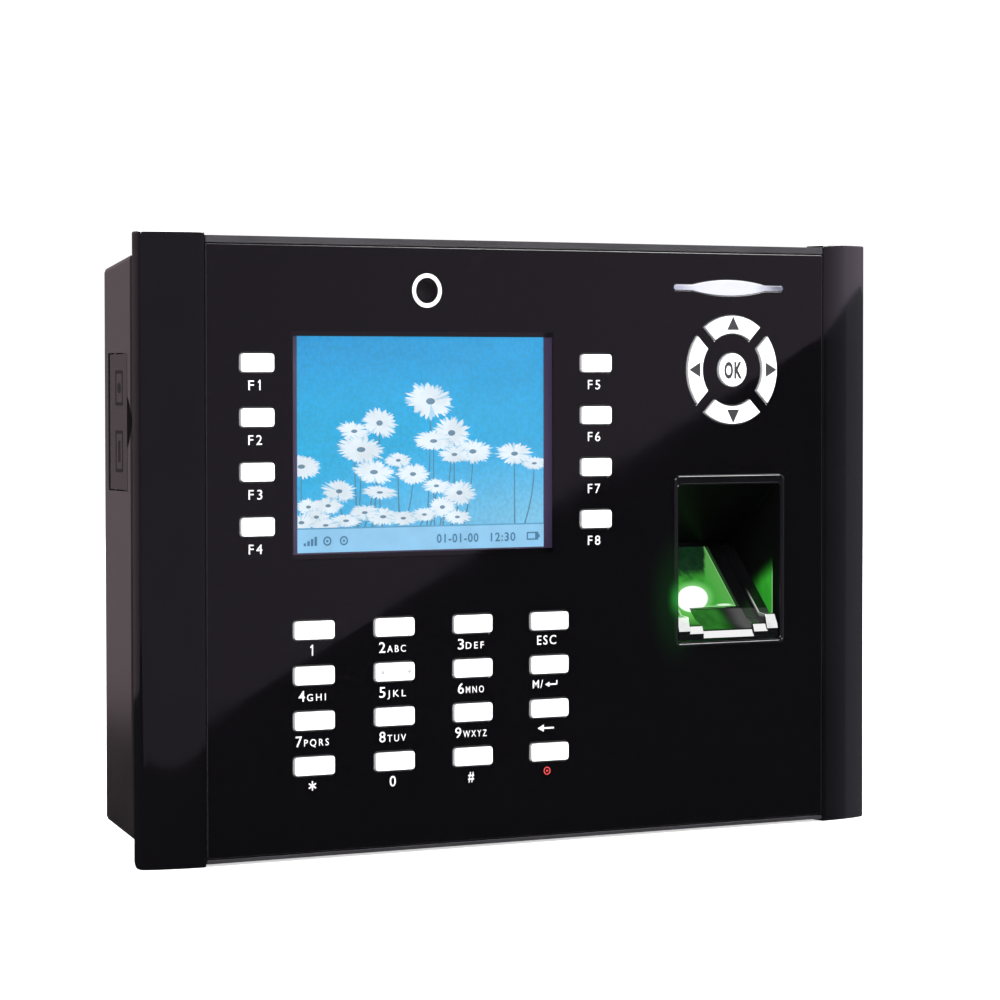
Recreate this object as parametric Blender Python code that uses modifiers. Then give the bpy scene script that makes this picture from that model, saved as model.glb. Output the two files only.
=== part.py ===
"""Wall-mounted fingerprint scanner terminal, modelled in metres with +Z up.

The origin is the middle of the wall plate's rear face. The front faces -Y and +X is to the
right of a person standing in front. All sizes below are millimetres. A depth is a distance
behind the front face of the glass panel, so a key's front has a small negative depth.
"""

import math

import bmesh
import bpy
from mathutils import Matrix, Vector

MM = 0.001
GAP = 0.3

# Whole object
TOTAL_DEPTH = 29.0
FRONT_DEPTH = 7.4

# Side rails, front frame and glass panel
RAIL_INNER_X = 90.5
RAIL_OUTER_X = 106.1
RAIL_HALF_HEIGHT = 75.4
RAIL_DROP = 3.2
RAIL_CORNER = 0.8
FRAME_HALF_HEIGHT = 74.7
FRAME_LIP = 1.7
FRAME_LIP_LOW = 0.9
FRAME_OPENING = (-86.5, 86.5, -64.1, 67.2)
GLASS_THICKNESS = 2.0
BEHIND_GLASS = GLASS_THICKNESS + GAP

# Rear housing: half width, bottom and top at its front edge, then how its sides and its
# top and bottom draw in towards the back
HOUSING_FRONT = FRONT_DEPTH + GAP
HOUSING_BACK = 28.4
HOUSING_HALF_WIDTH = 105.9
HOUSING_BOTTOM = -69.0
HOUSING_TOP = 70.4
HOUSING_SIDE_DRAFT = 2.5 / (HOUSING_BACK - HOUSING_FRONT)
HOUSING_END_DRAFT = 3.2 / (HOUSING_BACK - HOUSING_FRONT)
WALL = 2.4
PANEL_FRONT = 23.6
PANEL_BACK = 25.6

# Wall plate
PLATE_THICKNESS = 1.5
PLATE_HALF_WIDTH = 96.0
PLATE_BOTTOM = -60.0
PLATE_TOP = 61.0
HOOK_X = 70.0
HOOK_ROWS = (-35.0, 35.0)
HOOK_WIDTH = 8.0
PLATE_CABLE_HOLE = (3.0, -40.0, 60.0, 26.0)
PLATE_SCREW_X = 50.0
PLATE_SCREW_ROWS = (-20.0, 45.0)
PLATE_SCREW_HOLE_R = 2.4
CABLE_OPENING = (-34.0, 40.0, -60.8, -26.0)

# Display
LCD_X = -29.5
LCD_Z = 24.9
LCD_SIZE = (76.9, 63.9)
LCD_DROP = 1.0
LCD_THICKNESS = 3.0

# Keys
KEY_PROUD = 0.8
KEY_TRAVEL = 0.6
KEY_CHAMFER = 0.25
KEY_CORNER = 0.8
KEY_CLEARANCE = 0.45
FLANGE = 0.8
FLANGE_THICKNESS = 0.8
F_KEY_SIZE = (9.0, 4.5)
F_KEY_COLUMNS = (-76.7, 19.6)
F_KEY_PITCH = 13.06
PAD_KEY_SIZE = (11.0, 4.5)
PAD_LEFT_X = -61.4
PAD_TOP_Z = -19.9
PAD_PITCH_X = 22.35
PAD_PITCH_Z = 10.93
PAD_NAMES = (
    ("key_1", "key_2", "key_3", "key_esc"),
    ("key_4", "key_5", "key_6", "key_menu"),
    ("key_7", "key_8", "key_9", "key_back"),
    ("key_star", "key_0", "key_hash", "key_power"),
)

# Navigation pad, indicator and camera
RIGHT_COLUMN_X = 60.4
NAV_X = 61.3
NAV_Z = 42.85
NAV_OUTER_R = 13.9
NAV_INNER_R = 9.35
NAV_SPOKE = 3.2
NAV_OK_R = 4.3
NAV_DIRECTIONS = (("nav_right", 0.0), ("nav_up", 90.0), ("nav_left", 180.0), ("nav_down", 270.0))
LAMP_Z = 63.9
LAMP_LENGTH = 34.1
LAMP_BAR = 1.6
LAMP_LENS = (22.7, 4.3)
LAMP_PROUD = 0.3
CAMERA_Z = 62.2
CAMERA_SIZE = 8.5

# Fingerprint sensor: rim, recess and finger guide. Pairs are (depth, z), and each of the
# guide's three steps has a nose between two such points
SENSOR_X = 60.6
RIM_SIZE = (34.4, 44.0)
RIM_Z = -6.1
RIM_PROUD = 0.6
RIM_LAP = 0.4
RECESS_HALF_WIDTH = 15.9
RECESS_BOTTOM = -26.7
RECESS_TOP = 13.4
RECESS_FLOOR = (22.0, -2.2)
SENSOR_WALL = 0.65
PLATEN_SLOPE = 0.96
PLATEN_LOW = (7.5, -18.9)
PLATEN_TOP_Z = -3.6
PLATEN_HALF_WIDTH = 7.9
GUIDE_REACH = (7.9, 12.2, 15.5)
GUIDE_RISE = 1.25
GUIDE_KNEE = 3.9
GUIDE_NOSES = (((0.6, -24.2), (-0.1, -26.0)), ((0.6, -22.9), (-0.1, -24.8)), ((0.9, -20.5), (0.0, -24.1)))
GUIDE_REAR = (5.9, -22.6)

# Boards behind the keys
MEMBRANE_FRONT = BEHIND_GLASS + FLANGE_THICKNESS + KEY_TRAVEL + GAP
MEMBRANE_THICKNESS = 0.6
BOARD_FRONT = MEMBRANE_FRONT + MEMBRANE_THICKNESS + GAP
BOARD_THICKNESS = 1.6
KEY_BOARD = (-85.0, 85.0, -62.5, 66.0)
KEY_BOARD_CHAMFER = 15.0
MAIN_BOARD = (-76.0, 36.0, -58.0, 60.0)
MAIN_BOARD_FRONT = 8.6

# Screws
SCREW_X = 83.0
SCREW_ROWS = (-57.5, 60.0)
SCREW_R = 1.5
SCREW_HOLE_R = 1.8
SCREW_HEAD_R = 2.8
SCREW_HEAD_BACK = 25.2
BOSS_R = 4.6
FRAME_HOLE_DEPTH = 4.2
COUNTERBORE_DEPTH = 22.9
SECURITY_SCREW_X = 0.0
SECURITY_SCREW_DEPTH = 17.0

# Openings and connectors inside
SPEAKER_SLOTS = 5
SPEAKER_PITCH = 4.5
SPEAKER_SLOT_WIDTH = 1.8
TERMINAL_PITCH = 4.2
SOCKET_MOUTH_X = -101.4
USB_TONGUE_X = -100.5

# Tamper switch behind the rear panel
TAMPER_X = -64.0
TAMPER_Z = 20.0
TAMPER_R = 1.5

# Service door on the left side, in its own frame: u runs forward along the side face,
# out is away from the face
DOOR_HINGE_DEPTH = 22.8
DOOR_Z = 30.4
DOOR_HEIGHT = 32.3
DOOR_LENGTH = 11.8
DOOR_THICKNESS = 1.6
DOOR_BARREL_R = 1.4
DOOR_SEAT_GAP = 0.4
DOOR_PIN_R = 0.5
DOOR_PIN_HOLE_R = 0.8
DOOR_PIN_LENGTH = 35.5
NOTCH_R = 8.3
NOTCH_REACH = 3.0
NOTCH_DEPTH = 1.2

COLOURS = {
    "glass_black": ((0.008, 0.007, 0.010), 0.08, 0.0),
    "rail_black": ((0.022, 0.019, 0.024), 0.35, 0.0),
    "frame_black": ((0.040, 0.038, 0.044), 0.32, 0.0),
    "housing_grey": ((0.085, 0.070, 0.076), 0.55, 0.0),
    "gloss_black": ((0.006, 0.006, 0.007), 0.15, 0.0),
    "key_white": ((0.86, 0.86, 0.88), 0.35, 0.0),
    "lamp_clear": ((0.80, 0.80, 0.92), 0.20, 0.0),
    "prism_glass": ((0.10, 0.55, 0.12), 0.05, 0.0),
    "screen": ((0.10, 0.42, 0.72), 0.25, 0.0),
    "rubber": ((0.45, 0.45, 0.44), 0.80, 0.0),
    "circuit_board": ((0.015, 0.10, 0.035), 0.45, 0.0),
    "steel": ((0.50, 0.50, 0.50), 0.35, 1.0),
    "zinc": ((0.56, 0.56, 0.54), 0.42, 1.0),
    "component": ((0.020, 0.020, 0.022), 0.45, 0.0),
    "connector_green": ((0.05, 0.30, 0.12), 0.50, 0.0),
    "battery_wrap": ((0.05, 0.16, 0.40), 0.40, 0.0),
}


# ---------------------------------------------------------------- scene and materials

def clear_scene():
    for obj in list(bpy.data.objects):
        bpy.data.objects.remove(obj, do_unlink=True)


def new_collection(name):
    collection = bpy.data.collections.new(name)
    bpy.context.scene.collection.children.link(collection)
    return collection


def make_material(name, colour, roughness, metallic):
    material = bpy.data.materials.new(name)
    material.use_nodes = True
    shader = material.node_tree.nodes["Principled BSDF"]
    shader.inputs["Base Color"].default_value = (*colour, 1.0)
    shader.inputs["Roughness"].default_value = roughness
    shader.inputs["Metallic"].default_value = metallic
    return material


def row_y(depth):
    """World y, in metres, of a depth behind the glass."""
    return (depth - TOTAL_DEPTH) * MM


class Workshop:
    """Holds the collections and the root empty, and files new objects in them."""

    def __init__(self):
        self.parts = new_collection("fingerprint_terminal")
        self.cutters = new_collection("cutters")
        self.root = bpy.data.objects.new("terminal_origin", None)
        self.parts.objects.link(self.root)

    def part(self, obj, name, finish, parent=None):
        """File an object as a sub-part with a material of its own."""
        obj.name = name
        obj.data.name = name
        obj.data.materials.clear()
        obj.data.materials.append(make_material(f"{name}_{finish}", *COLOURS[finish]))
        self._file(obj, self.parts)
        obj.parent = parent or self.root
        return obj

    def tool(self, obj, name):
        """File an object as a Boolean tool, which the render leaves out."""
        obj.name = name
        obj.hide_render = True
        obj.display_type = "WIRE"
        self._file(obj, self.cutters)
        return obj

    def combine(self, obj, operation, tools):
        """One Boolean for any number of tools, which mustn't touch each other."""
        tool = self.tool(merged(tools), f"{obj.name}_{operation.lower()}")
        modifier = obj.modifiers.new(tool.name, "BOOLEAN")
        modifier.operation = operation
        modifier.object = tool

    def cut(self, obj, *tools):
        self.combine(obj, "DIFFERENCE", tools)

    def join(self, obj, *tools):
        self.combine(obj, "UNION", tools)

    @staticmethod
    def _file(obj, collection):
        for old in list(obj.users_collection):
            old.objects.unlink(obj)
        collection.objects.link(obj)


# ---------------------------------------------------------------- outlines, in millimetres

def arc(cx, cy, radius, start, end, steps):
    """Points of an arc, with its angles in degrees."""
    points = []
    for i in range(steps + 1):
        angle = math.radians(start + (end - start) * i / steps)
        points.append((cx + radius * math.cos(angle), cy + radius * math.sin(angle)))
    return points


def circle(cx, cy, radius, steps=24):
    return arc(cx, cy, radius, 0.0, 360.0, steps)[:-1]


def rounded_rect(cx, cy, width, height, radius, steps=3):
    corners = ((1, 1, 0.0), (-1, 1, 90.0), (-1, -1, 180.0), (1, -1, 270.0))
    points = []
    for sx, sy, start in corners:
        x = cx + sx * (width / 2 - radius)
        y = cy + sy * (height / 2 - radius)
        points += arc(x, y, radius, start, start + 90.0, steps)
    return points


def rectangle(x0, x1, y0, y1):
    return [(x0, y0), (x1, y0), (x1, y1), (x0, y1)]


def chamfered_rect(x0, x1, y0, y1, chamfer):
    return [
        (x0 + chamfer, y0), (x1 - chamfer, y0), (x1, y0 + chamfer), (x1, y1 - chamfer),
        (x1 - chamfer, y1), (x0 + chamfer, y1), (x0, y1 - chamfer), (x0, y0 + chamfer),
    ]


def nav_outline(cx, cz, direction, grow=0.0):
    """A quarter-ring key whose ends run parallel to the diagonals between the keys."""
    half_spoke = NAV_SPOKE / 2 - grow
    outer = NAV_OUTER_R + grow
    inner = NAV_INNER_R - grow
    outer_half = 45.0 - math.degrees(math.asin(half_spoke / outer))
    inner_half = 45.0 - math.degrees(math.asin(half_spoke / inner))
    points = arc(cx, cz, outer, direction - outer_half, direction + outer_half, 10)
    points += arc(cx, cz, inner, direction + inner_half, direction - inner_half, 8)
    return points


def lamp_outline(cx, cz, grow=0.0):
    """A thin bar with a pointed lens shape in its middle."""
    bar = LAMP_BAR / 2 + grow
    half_lens = LAMP_LENS[0] / 2
    rise = LAMP_LENS[1] / 2 + grow - bar
    radius = (half_lens ** 2 + rise ** 2) / (2 * rise)
    reach = math.degrees(math.asin(half_lens / radius))
    end_x = LAMP_LENGTH / 2 - LAMP_BAR / 2
    centre = bar + rise - radius
    points = arc(cx + end_x, cz, bar, -90.0, 90.0, 6)
    points += arc(cx, cz + centre, radius, 90.0 - reach, 90.0 + reach, 10)
    points += arc(cx - end_x, cz, bar, 90.0, 270.0, 6)
    points += arc(cx, cz - centre, radius, 270.0 - reach, 270.0 + reach, 10)
    return points


# ---------------------------------------------------------------- solids

# Each axis maps an outline's two coordinates and its extrusion to world x, y and z
AXES = {
    "X": Matrix(((0, 0, 1), (1, 0, 0), (0, 1, 0))),
    "Y": Matrix(((1, 0, 0), (0, 0, -1), (0, 1, 0))),
    "Z": Matrix(((1, 0, 0), (0, 1, 0), (0, 0, 1))),
}


def flat_solid(loops, thickness):
    """Closed outlines in the local XY plane, thickened evenly; inner outlines become holes."""
    curve = bpy.data.curves.new("outline", "CURVE")
    curve.dimensions = "2D"
    curve.fill_mode = "BOTH"
    curve.extrude = thickness / 2 * MM
    for loop in loops:
        spline = curve.splines.new("POLY")
        spline.points.add(len(loop) - 1)
        for point, (a, b) in zip(spline.points, loop):
            point.co = (a * MM, b * MM, 0.0, 1.0)
        spline.use_cyclic_u = True
    holder = bpy.data.objects.new("outline", curve)
    bpy.context.scene.collection.objects.link(holder)
    return mesh_from_curve(holder)


def prism(loops, axis, start, end):
    """Extrude closed outlines along a world axis.

    Along X an outline is (depth, z), along Y it is (x, z), along Z it is (x, depth).
    """
    shift = {"X": (-TOTAL_DEPTH, 0.0), "Y": (0.0, 0.0), "Z": (0.0, -TOTAL_DEPTH)}[axis]
    moved = [[(a + shift[0], b + shift[1]) for a, b in loop] for loop in loops]
    solid = flat_solid(moved, abs(end - start))
    middle = (start + end) / 2
    offset = {
        "X": Vector((middle * MM, 0.0, 0.0)),
        "Y": Vector((0.0, row_y(middle), 0.0)),
        "Z": Vector((0.0, 0.0, middle * MM)),
    }[axis]
    solid.matrix_world = Matrix.Translation(offset) @ AXES[axis].to_4x4()
    return solid


def mesh_from_curve(holder):
    """Turn a curve object into a closed mesh object and remove the curve."""
    bpy.context.view_layer.update()
    evaluated = holder.evaluated_get(bpy.context.evaluated_depsgraph_get())
    mesh = bpy.data.meshes.new_from_object(evaluated)
    solid = bpy.data.objects.new("solid", mesh)
    solid.matrix_world = holder.matrix_world
    bpy.context.scene.collection.objects.link(solid)
    bpy.data.objects.remove(holder, do_unlink=True)
    bm = bmesh.new()
    bm.from_mesh(mesh)
    bmesh.ops.remove_doubles(bm, verts=bm.verts, dist=1e-6)
    bmesh.ops.recalc_face_normals(bm, faces=bm.faces)
    bm.to_mesh(mesh)
    bm.free()
    return solid


def box(x0, x1, front, back, z0, z1):
    """A block between two x, two depths and two heights."""
    bpy.ops.mesh.primitive_cube_add(size=1.0)
    block = bpy.context.object
    size = Vector((x1 - x0, back - front, z1 - z0)) * MM
    block.data.transform(Matrix.Diagonal((*size, 1.0)))
    block.location = ((x0 + x1) / 2 * MM, row_y((front + back) / 2), (z0 + z1) / 2 * MM)
    return block


def cylinder(radius, length, location, axis, sides=24):
    """A round bar centred on a world point, in metres, along an axis."""
    bpy.ops.mesh.primitive_cylinder_add(vertices=sides, radius=radius * MM, depth=length * MM)
    bar = bpy.context.object
    turn = {"X": ("Y", 90.0), "Y": ("X", 90.0), "Z": ("Z", 0.0)}[axis]
    bar.data.transform(Matrix.Rotation(math.radians(turn[1]), 4, turn[0]))
    bar.location = location
    smooth(bar)
    return bar


def tapered_block(front, back, inset):
    """A block that follows the housing's drafted sides, drawn in all round by an inset."""
    bm = bmesh.new()
    bmesh.ops.create_cube(bm, size=1.0)
    for vert in bm.verts:
        depth = front if vert.co.y < 0 else back
        half_width = HOUSING_HALF_WIDTH - inset - (depth - HOUSING_FRONT) * HOUSING_SIDE_DRAFT
        shrink = inset + (depth - HOUSING_FRONT) * HOUSING_END_DRAFT
        z = HOUSING_TOP - shrink if vert.co.z > 0 else HOUSING_BOTTOM + shrink
        x = half_width if vert.co.x > 0 else -half_width
        vert.co = (x * MM, row_y(depth), z * MM)
    mesh = bpy.data.meshes.new("tapered_block")
    bm.to_mesh(mesh)
    bm.free()
    obj = bpy.data.objects.new("tapered_block", mesh)
    bpy.context.scene.collection.objects.link(obj)
    return obj


def turned(profile, location, axis, sides=24):
    """A solid of revolution from (radius, distance) points that start and end on its axis."""
    bm = bmesh.new()
    verts = [bm.verts.new((radius * MM, 0.0, along * MM)) for radius, along in profile]
    edges = [bm.edges.new(pair) for pair in zip(verts, verts[1:])]
    bmesh.ops.spin(bm, geom=verts + edges, cent=(0, 0, 0), axis=(0, 0, 1), dvec=(0, 0, 0),
                   angle=math.tau, steps=sides, use_merge=True, use_duplicate=False)
    bmesh.ops.remove_doubles(bm, verts=bm.verts, dist=1e-6)
    bmesh.ops.recalc_face_normals(bm, faces=bm.faces)
    mesh = bpy.data.meshes.new("turned")
    bm.to_mesh(mesh)
    bm.free()
    turn = {"Y": ("X", -90.0), "Z": ("Z", 0.0)}[axis]
    mesh.transform(Matrix.Rotation(math.radians(turn[1]), 4, turn[0]))
    obj = bpy.data.objects.new("turned", mesh)
    bpy.context.scene.collection.objects.link(obj)
    obj.location = location
    smooth(obj)
    return obj


def merged(tools):
    """One object that holds the separate solids of several."""
    if len(tools) == 1:
        return tools[0]
    bpy.context.view_layer.update()
    bm = bmesh.new()
    for tool in tools:
        tool.data.transform(tool.matrix_world)
        bm.from_mesh(tool.data)
        bpy.data.objects.remove(tool, do_unlink=True)
    mesh = bpy.data.meshes.new("merged")
    bm.to_mesh(mesh)
    bm.free()
    obj = bpy.data.objects.new("merged", mesh)
    bpy.context.scene.collection.objects.link(obj)
    return obj


def smooth(obj):
    obj.data.shade_smooth()
    obj.data.set_sharp_from_angle(angle=math.radians(35.0))


def bevel(obj, width, segments=2):
    modifier = obj.modifiers.new("edges", "BEVEL")
    modifier.width = width * MM
    modifier.segments = segments
    modifier.limit_method = "ANGLE"
    modifier.angle_limit = math.radians(50.0)


# ---------------------------------------------------------------- keys

def key_mesh(name, flange_outline, proud=KEY_PROUD):
    """A key cap on a wider flange, from the flange's outline around the key's own origin.

    The local origin lies on the glass's front face, and the cap stands out towards -Y.
    """
    bm = bmesh.new()
    back = BEHIND_GLASS + FLANGE_THICKNESS
    rim = [bm.verts.new((x * MM, back * MM, z * MM)) for x, z in flange_outline]
    face = bm.faces.new(rim)
    face = extrude(bm, face, -FLANGE_THICKNESS, keep=True)
    bmesh.ops.inset_region(bm, faces=[face], thickness=FLANGE * MM, use_even_offset=True)
    face = extrude(bm, face, -(BEHIND_GLASS + proud - KEY_CHAMFER))
    face = extrude(bm, face, -KEY_CHAMFER)
    middle = face.calc_center_median()
    for vert in face.verts:
        vert.co -= (vert.co - middle).normalized() * KEY_CHAMFER * MM
    bmesh.ops.recalc_face_normals(bm, faces=bm.faces)
    mesh = bpy.data.meshes.new(name)
    bm.to_mesh(mesh)
    bm.free()
    return mesh


def extrude(bm, face, distance, keep=False):
    """Extrude one face along y by a distance in millimetres and return the moved face."""
    made = bmesh.ops.extrude_face_region(bm, geom=[face])
    if not keep:
        bmesh.ops.delete(bm, geom=[face], context="FACES_ONLY")
    verts = [item for item in made["geom"] if isinstance(item, bmesh.types.BMVert)]
    bmesh.ops.translate(bm, verts=verts, vec=(0.0, distance * MM, 0.0))
    return next(item for item in made["geom"] if isinstance(item, bmesh.types.BMFace))


def place_key(shop, name, mesh, x, z, finish="key_white"):
    obj = bpy.data.objects.new(name, mesh.copy())
    bpy.context.scene.collection.objects.link(obj)
    obj.location = (x * MM, row_y(0.0), z * MM)
    return shop.part(obj, name, finish)


def flanged(size):
    """The outline of a rectangular key's flange around its own centre."""
    width, height = size
    return rounded_rect(0.0, 0.0, width + 2 * FLANGE, height + 2 * FLANGE, KEY_CORNER + FLANGE)


def f_key_places():
    """The name, x and z of each function key, downwards on the left and then on the right."""
    places = []
    for column, x in enumerate(F_KEY_COLUMNS):
        for row in range(4):
            z = LCD_Z + (1.5 - row) * F_KEY_PITCH
            places.append((f"key_f{column * 4 + row + 1}", x, z))
    return places


def pad_key_places():
    """The name, x and z of each keypad key."""
    places = []
    for row, names in enumerate(PAD_NAMES):
        for column, name in enumerate(names):
            x = PAD_LEFT_X + column * PAD_PITCH_X
            z = PAD_TOP_Z - row * PAD_PITCH_Z
            places.append((name, x, z))
    return places


def make_keys(shop):
    f_mesh = key_mesh("f_key", flanged(F_KEY_SIZE))
    for name, x, z in f_key_places():
        place_key(shop, name, f_mesh, x, z)
    pad_mesh = key_mesh("pad_key", flanged(PAD_KEY_SIZE))
    for name, x, z in pad_key_places():
        place_key(shop, name, pad_mesh, x, z)
    for name, direction in NAV_DIRECTIONS:
        mesh = key_mesh(name, nav_outline(0.0, 0.0, direction, FLANGE))
        place_key(shop, name, mesh, NAV_X, NAV_Z)
    ok_mesh = key_mesh("nav_ok", circle(0.0, 0.0, NAV_OK_R + FLANGE, 28))
    place_key(shop, "nav_ok", ok_mesh, NAV_X, NAV_Z)


# ---------------------------------------------------------------- front

def key_cutouts():
    """The holes that the keys pass through in the glass."""
    loops = []
    for size, places in ((F_KEY_SIZE, f_key_places()), (PAD_KEY_SIZE, pad_key_places())):
        for _, x, z in places:
            width = size[0] + 2 * KEY_CLEARANCE
            height = size[1] + 2 * KEY_CLEARANCE
            loops.append(rounded_rect(x, z, width, height, KEY_CORNER + KEY_CLEARANCE))
    for _, direction in NAV_DIRECTIONS:
        loops.append(nav_outline(NAV_X, NAV_Z, direction, KEY_CLEARANCE))
    loops.append(circle(NAV_X, NAV_Z, NAV_OK_R + KEY_CLEARANCE, 28))
    return loops


def make_front_panel(shop):
    half = RAIL_INNER_X - GAP
    top = FRAME_HALF_HEIGHT - FRAME_LIP - GAP
    bottom = -FRAME_HALF_HEIGHT + FRAME_LIP_LOW + GAP
    loops = [rectangle(-half, half, bottom, top)]
    loops += key_cutouts()
    loops.append(lamp_outline(RIGHT_COLUMN_X, LAMP_Z, GAP))
    sensor_hole = (RIM_SIZE[0] - 2 * RIM_LAP, RIM_SIZE[1] - 2 * RIM_LAP)
    loops.append(rounded_rect(SENSOR_X, RIM_Z, *sensor_hole, 0.8))
    shop.part(prism(loops, "Y", 0.0, GLASS_THICKNESS), "front_panel", "glass_black")


def make_front_frame(shop):
    """A ring behind the glass whose top and bottom lips reach its front face."""
    half = RAIL_INNER_X - GAP
    height = FRAME_HALF_HEIGHT
    loops = [rectangle(-half, half, -height, height), rectangle(*FRAME_OPENING)]
    frame = shop.part(prism(loops, "Y", BEHIND_GLASS, FRONT_DEPTH), "front_frame", "frame_black")
    top_lip = box(-half, half, 0.0, FRONT_DEPTH - 1.0, height - FRAME_LIP, height)
    low_lip = box(-half, half, 0.0, FRONT_DEPTH - 1.0, -height, -height + FRAME_LIP_LOW)
    bosses = [screw_boss(x, z, BEHIND_GLASS, FRONT_DEPTH) for x, z in screw_places()]
    shop.join(frame, top_lip, low_lip, *bosses)
    shop.cut(frame, *[screw_hole(x, z, FRAME_HOLE_DEPTH, 5.0) for x, z in screw_places()])


def rail_profile(side):
    """A rail's section: a shallow arc that falls away from the glass to a straight side."""
    width = RAIL_OUTER_X - RAIL_INNER_X
    radius = (width ** 2 + RAIL_DROP ** 2) / (2 * RAIL_DROP)
    reach = math.degrees(math.asin((width - RAIL_CORNER) / radius))
    front = arc(RAIL_INNER_X, radius, radius, -90.0, -90.0 + reach, 8)
    corner = arc(RAIL_OUTER_X - RAIL_CORNER, front[-1][1] + RAIL_CORNER, RAIL_CORNER, -65.0, 0.0, 3)
    points = front + corner + [(RAIL_OUTER_X, FRONT_DEPTH), (RAIL_INNER_X, FRONT_DEPTH)]
    return [(side * x, depth) for x, depth in points]


def make_rails(shop):
    for name, side in (("left_rail", -1), ("right_rail", 1)):
        solid = prism([rail_profile(side)], "Z", -RAIL_HALF_HEIGHT, RAIL_HALF_HEIGHT)
        rail = shop.part(solid, name, "rail_black")
        inner = sorted((side * (RAIL_INNER_X + 2.0), side * (RAIL_OUTER_X - 2.5)))
        hollow = box(*inner, 5.4, FRONT_DEPTH + 2.0, HOUSING_BOTTOM + 6.0, HOUSING_TOP - 6.0)
        shop.cut(rail, hollow)
        smooth(rail)


def make_lamp(shop):
    """The indicator's light guide: a lens just proud of the glass on a flange behind it."""
    mesh = key_mesh("indicator_lens", lamp_outline(0.0, 0.0, FLANGE), LAMP_PROUD)
    place_key(shop, "indicator_lens", mesh, RIGHT_COLUMN_X, LAMP_Z, "lamp_clear")


def make_camera(shop):
    """A small camera on its own board, looking out through the glass."""
    half = CAMERA_SIZE / 2
    front = BEHIND_GLASS + 2.6
    body = box(LCD_X - half, LCD_X + half, front, front + 2.4, CAMERA_Z - half, CAMERA_Z + half)
    camera = shop.part(body, "camera_module", "component")
    location = (LCD_X * MM, row_y(BEHIND_GLASS + 1.8), CAMERA_Z * MM)
    shop.join(camera, cylinder(3.4, 3.0, location, "Y"))


def make_display(shop):
    width, height = LCD_SIZE
    z = LCD_Z - LCD_DROP
    body = box(LCD_X - width / 2, LCD_X + width / 2, BEHIND_GLASS, BEHIND_GLASS + LCD_THICKNESS,
               z - height / 2, z + height / 2)
    display = shop.part(body, "lcd_panel", "screen")
    bevel(display, 0.3, 1)


# ---------------------------------------------------------------- fingerprint sensor

def recess_loop(grow, front):
    """The recess seen from the side: an upper slope down to its floor, open at the front."""
    floor_depth, floor_z = RECESS_FLOOR
    return [
        (front, RECESS_TOP + grow), (1.5, RECESS_TOP + grow),
        (floor_depth + grow, floor_z + grow), (floor_depth + grow, floor_z - 3.0),
        (9.0, RECESS_BOTTOM - grow), (front, RECESS_BOTTOM - grow),
    ]


def make_sensor_bezel(shop):
    """The rim on the glass with the moulded pocket behind it."""
    x = SENSOR_X
    rim_loop = rounded_rect(x, RIM_Z, *RIM_SIZE, 1.6)
    rim = shop.part(prism([rim_loop], "Y", -RIM_PROUD, -GAP), "sensor_bezel", "gloss_black")
    inset = 2 * (RIM_LAP + GAP)
    neck_size = (RIM_SIZE[0] - inset, RIM_SIZE[1] - inset)
    neck = prism([rounded_rect(x, RIM_Z, *neck_size, 1.1)], "Y", -0.45, 3.0)
    outer = RECESS_HALF_WIDTH + SENSOR_WALL
    pocket = prism([recess_loop(SENSOR_WALL, 0.5)], "X", x - outer, x + outer)
    shop.join(rim, neck)
    shop.join(rim, pocket)
    mouth_depth = -RIM_PROUD - 1.0
    cavity_loop = recess_loop(0.0, mouth_depth)
    cavity = prism([cavity_loop], "X", x - RECESS_HALF_WIDTH, x + RECESS_HALF_WIDTH)
    low = RECESS_FLOOR[1] - 1.0
    back_opening = prism([[(8.0, RECESS_BOTTOM), (9.2, -31.0), (30.0, -31.0), (30.0, low), (21.0, low)]],
                         "X", x - RECESS_HALF_WIDTH, x + RECESS_HALF_WIDTH)
    shop.cut(rim, cavity)
    shop.cut(rim, back_opening)


def guide_face(z, rise):
    """Depth of the finger guide's slope at a height, for a step that is raised."""
    low_depth, low_z = PLATEN_LOW
    return low_depth + (z - rise - low_z) * PLATEN_SLOPE


def guide_loop(step):
    """The finger guide's side view at one of its steps."""
    rise = step * GUIDE_RISE
    nose, lip = GUIDE_NOSES[step]
    knee_z = PLATEN_LOW[1] + rise + (GUIDE_KNEE - PLATEN_LOW[0]) / PLATEN_SLOPE
    top_z = RECESS_FLOOR[1] - 1.2
    bottom = RECESS_BOTTOM + GAP
    return [
        (guide_face(top_z, rise), top_z), (GUIDE_KNEE, knee_z), nose, lip, (lip[0], bottom),
        (GUIDE_REAR[0], bottom), GUIDE_REAR, (guide_face(top_z, 0.0) + 0.5, top_z),
    ]


def make_sensor_guide(shop):
    """The stepped insert that steers a finger on to the glass platen."""
    x = SENSOR_X
    middle_reach = GUIDE_REACH[0] + 0.5
    solids = [prism([guide_loop(0)], "X", x - middle_reach, x + middle_reach)]
    for step in (1, 2):
        reach = GUIDE_REACH[step]
        inner = GUIDE_REACH[step - 1] - (0.2 if step == 2 else 0.0)
        solids.append(prism([guide_loop(step)], "X", x - reach, x - inner))
        solids.append(prism([guide_loop(step)], "X", x + inner, x + reach))
    guide = shop.part(solids[0], "sensor_guide", "gloss_black")
    for pair in (solids[1:3], solids[3:5]):
        shop.join(guide, *pair)
    low_depth, low_z = PLATEN_LOW
    window = [
        (low_depth - 8.0, low_z), (low_depth + 8.0, low_z),
        (low_depth + 24.0, PLATEN_TOP_Z + 6.0), (low_depth + 6.0, PLATEN_TOP_Z + 6.0),
    ]
    shop.cut(guide, prism([window], "X", x - PLATEN_HALF_WIDTH, x + PLATEN_HALF_WIDTH))


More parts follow.
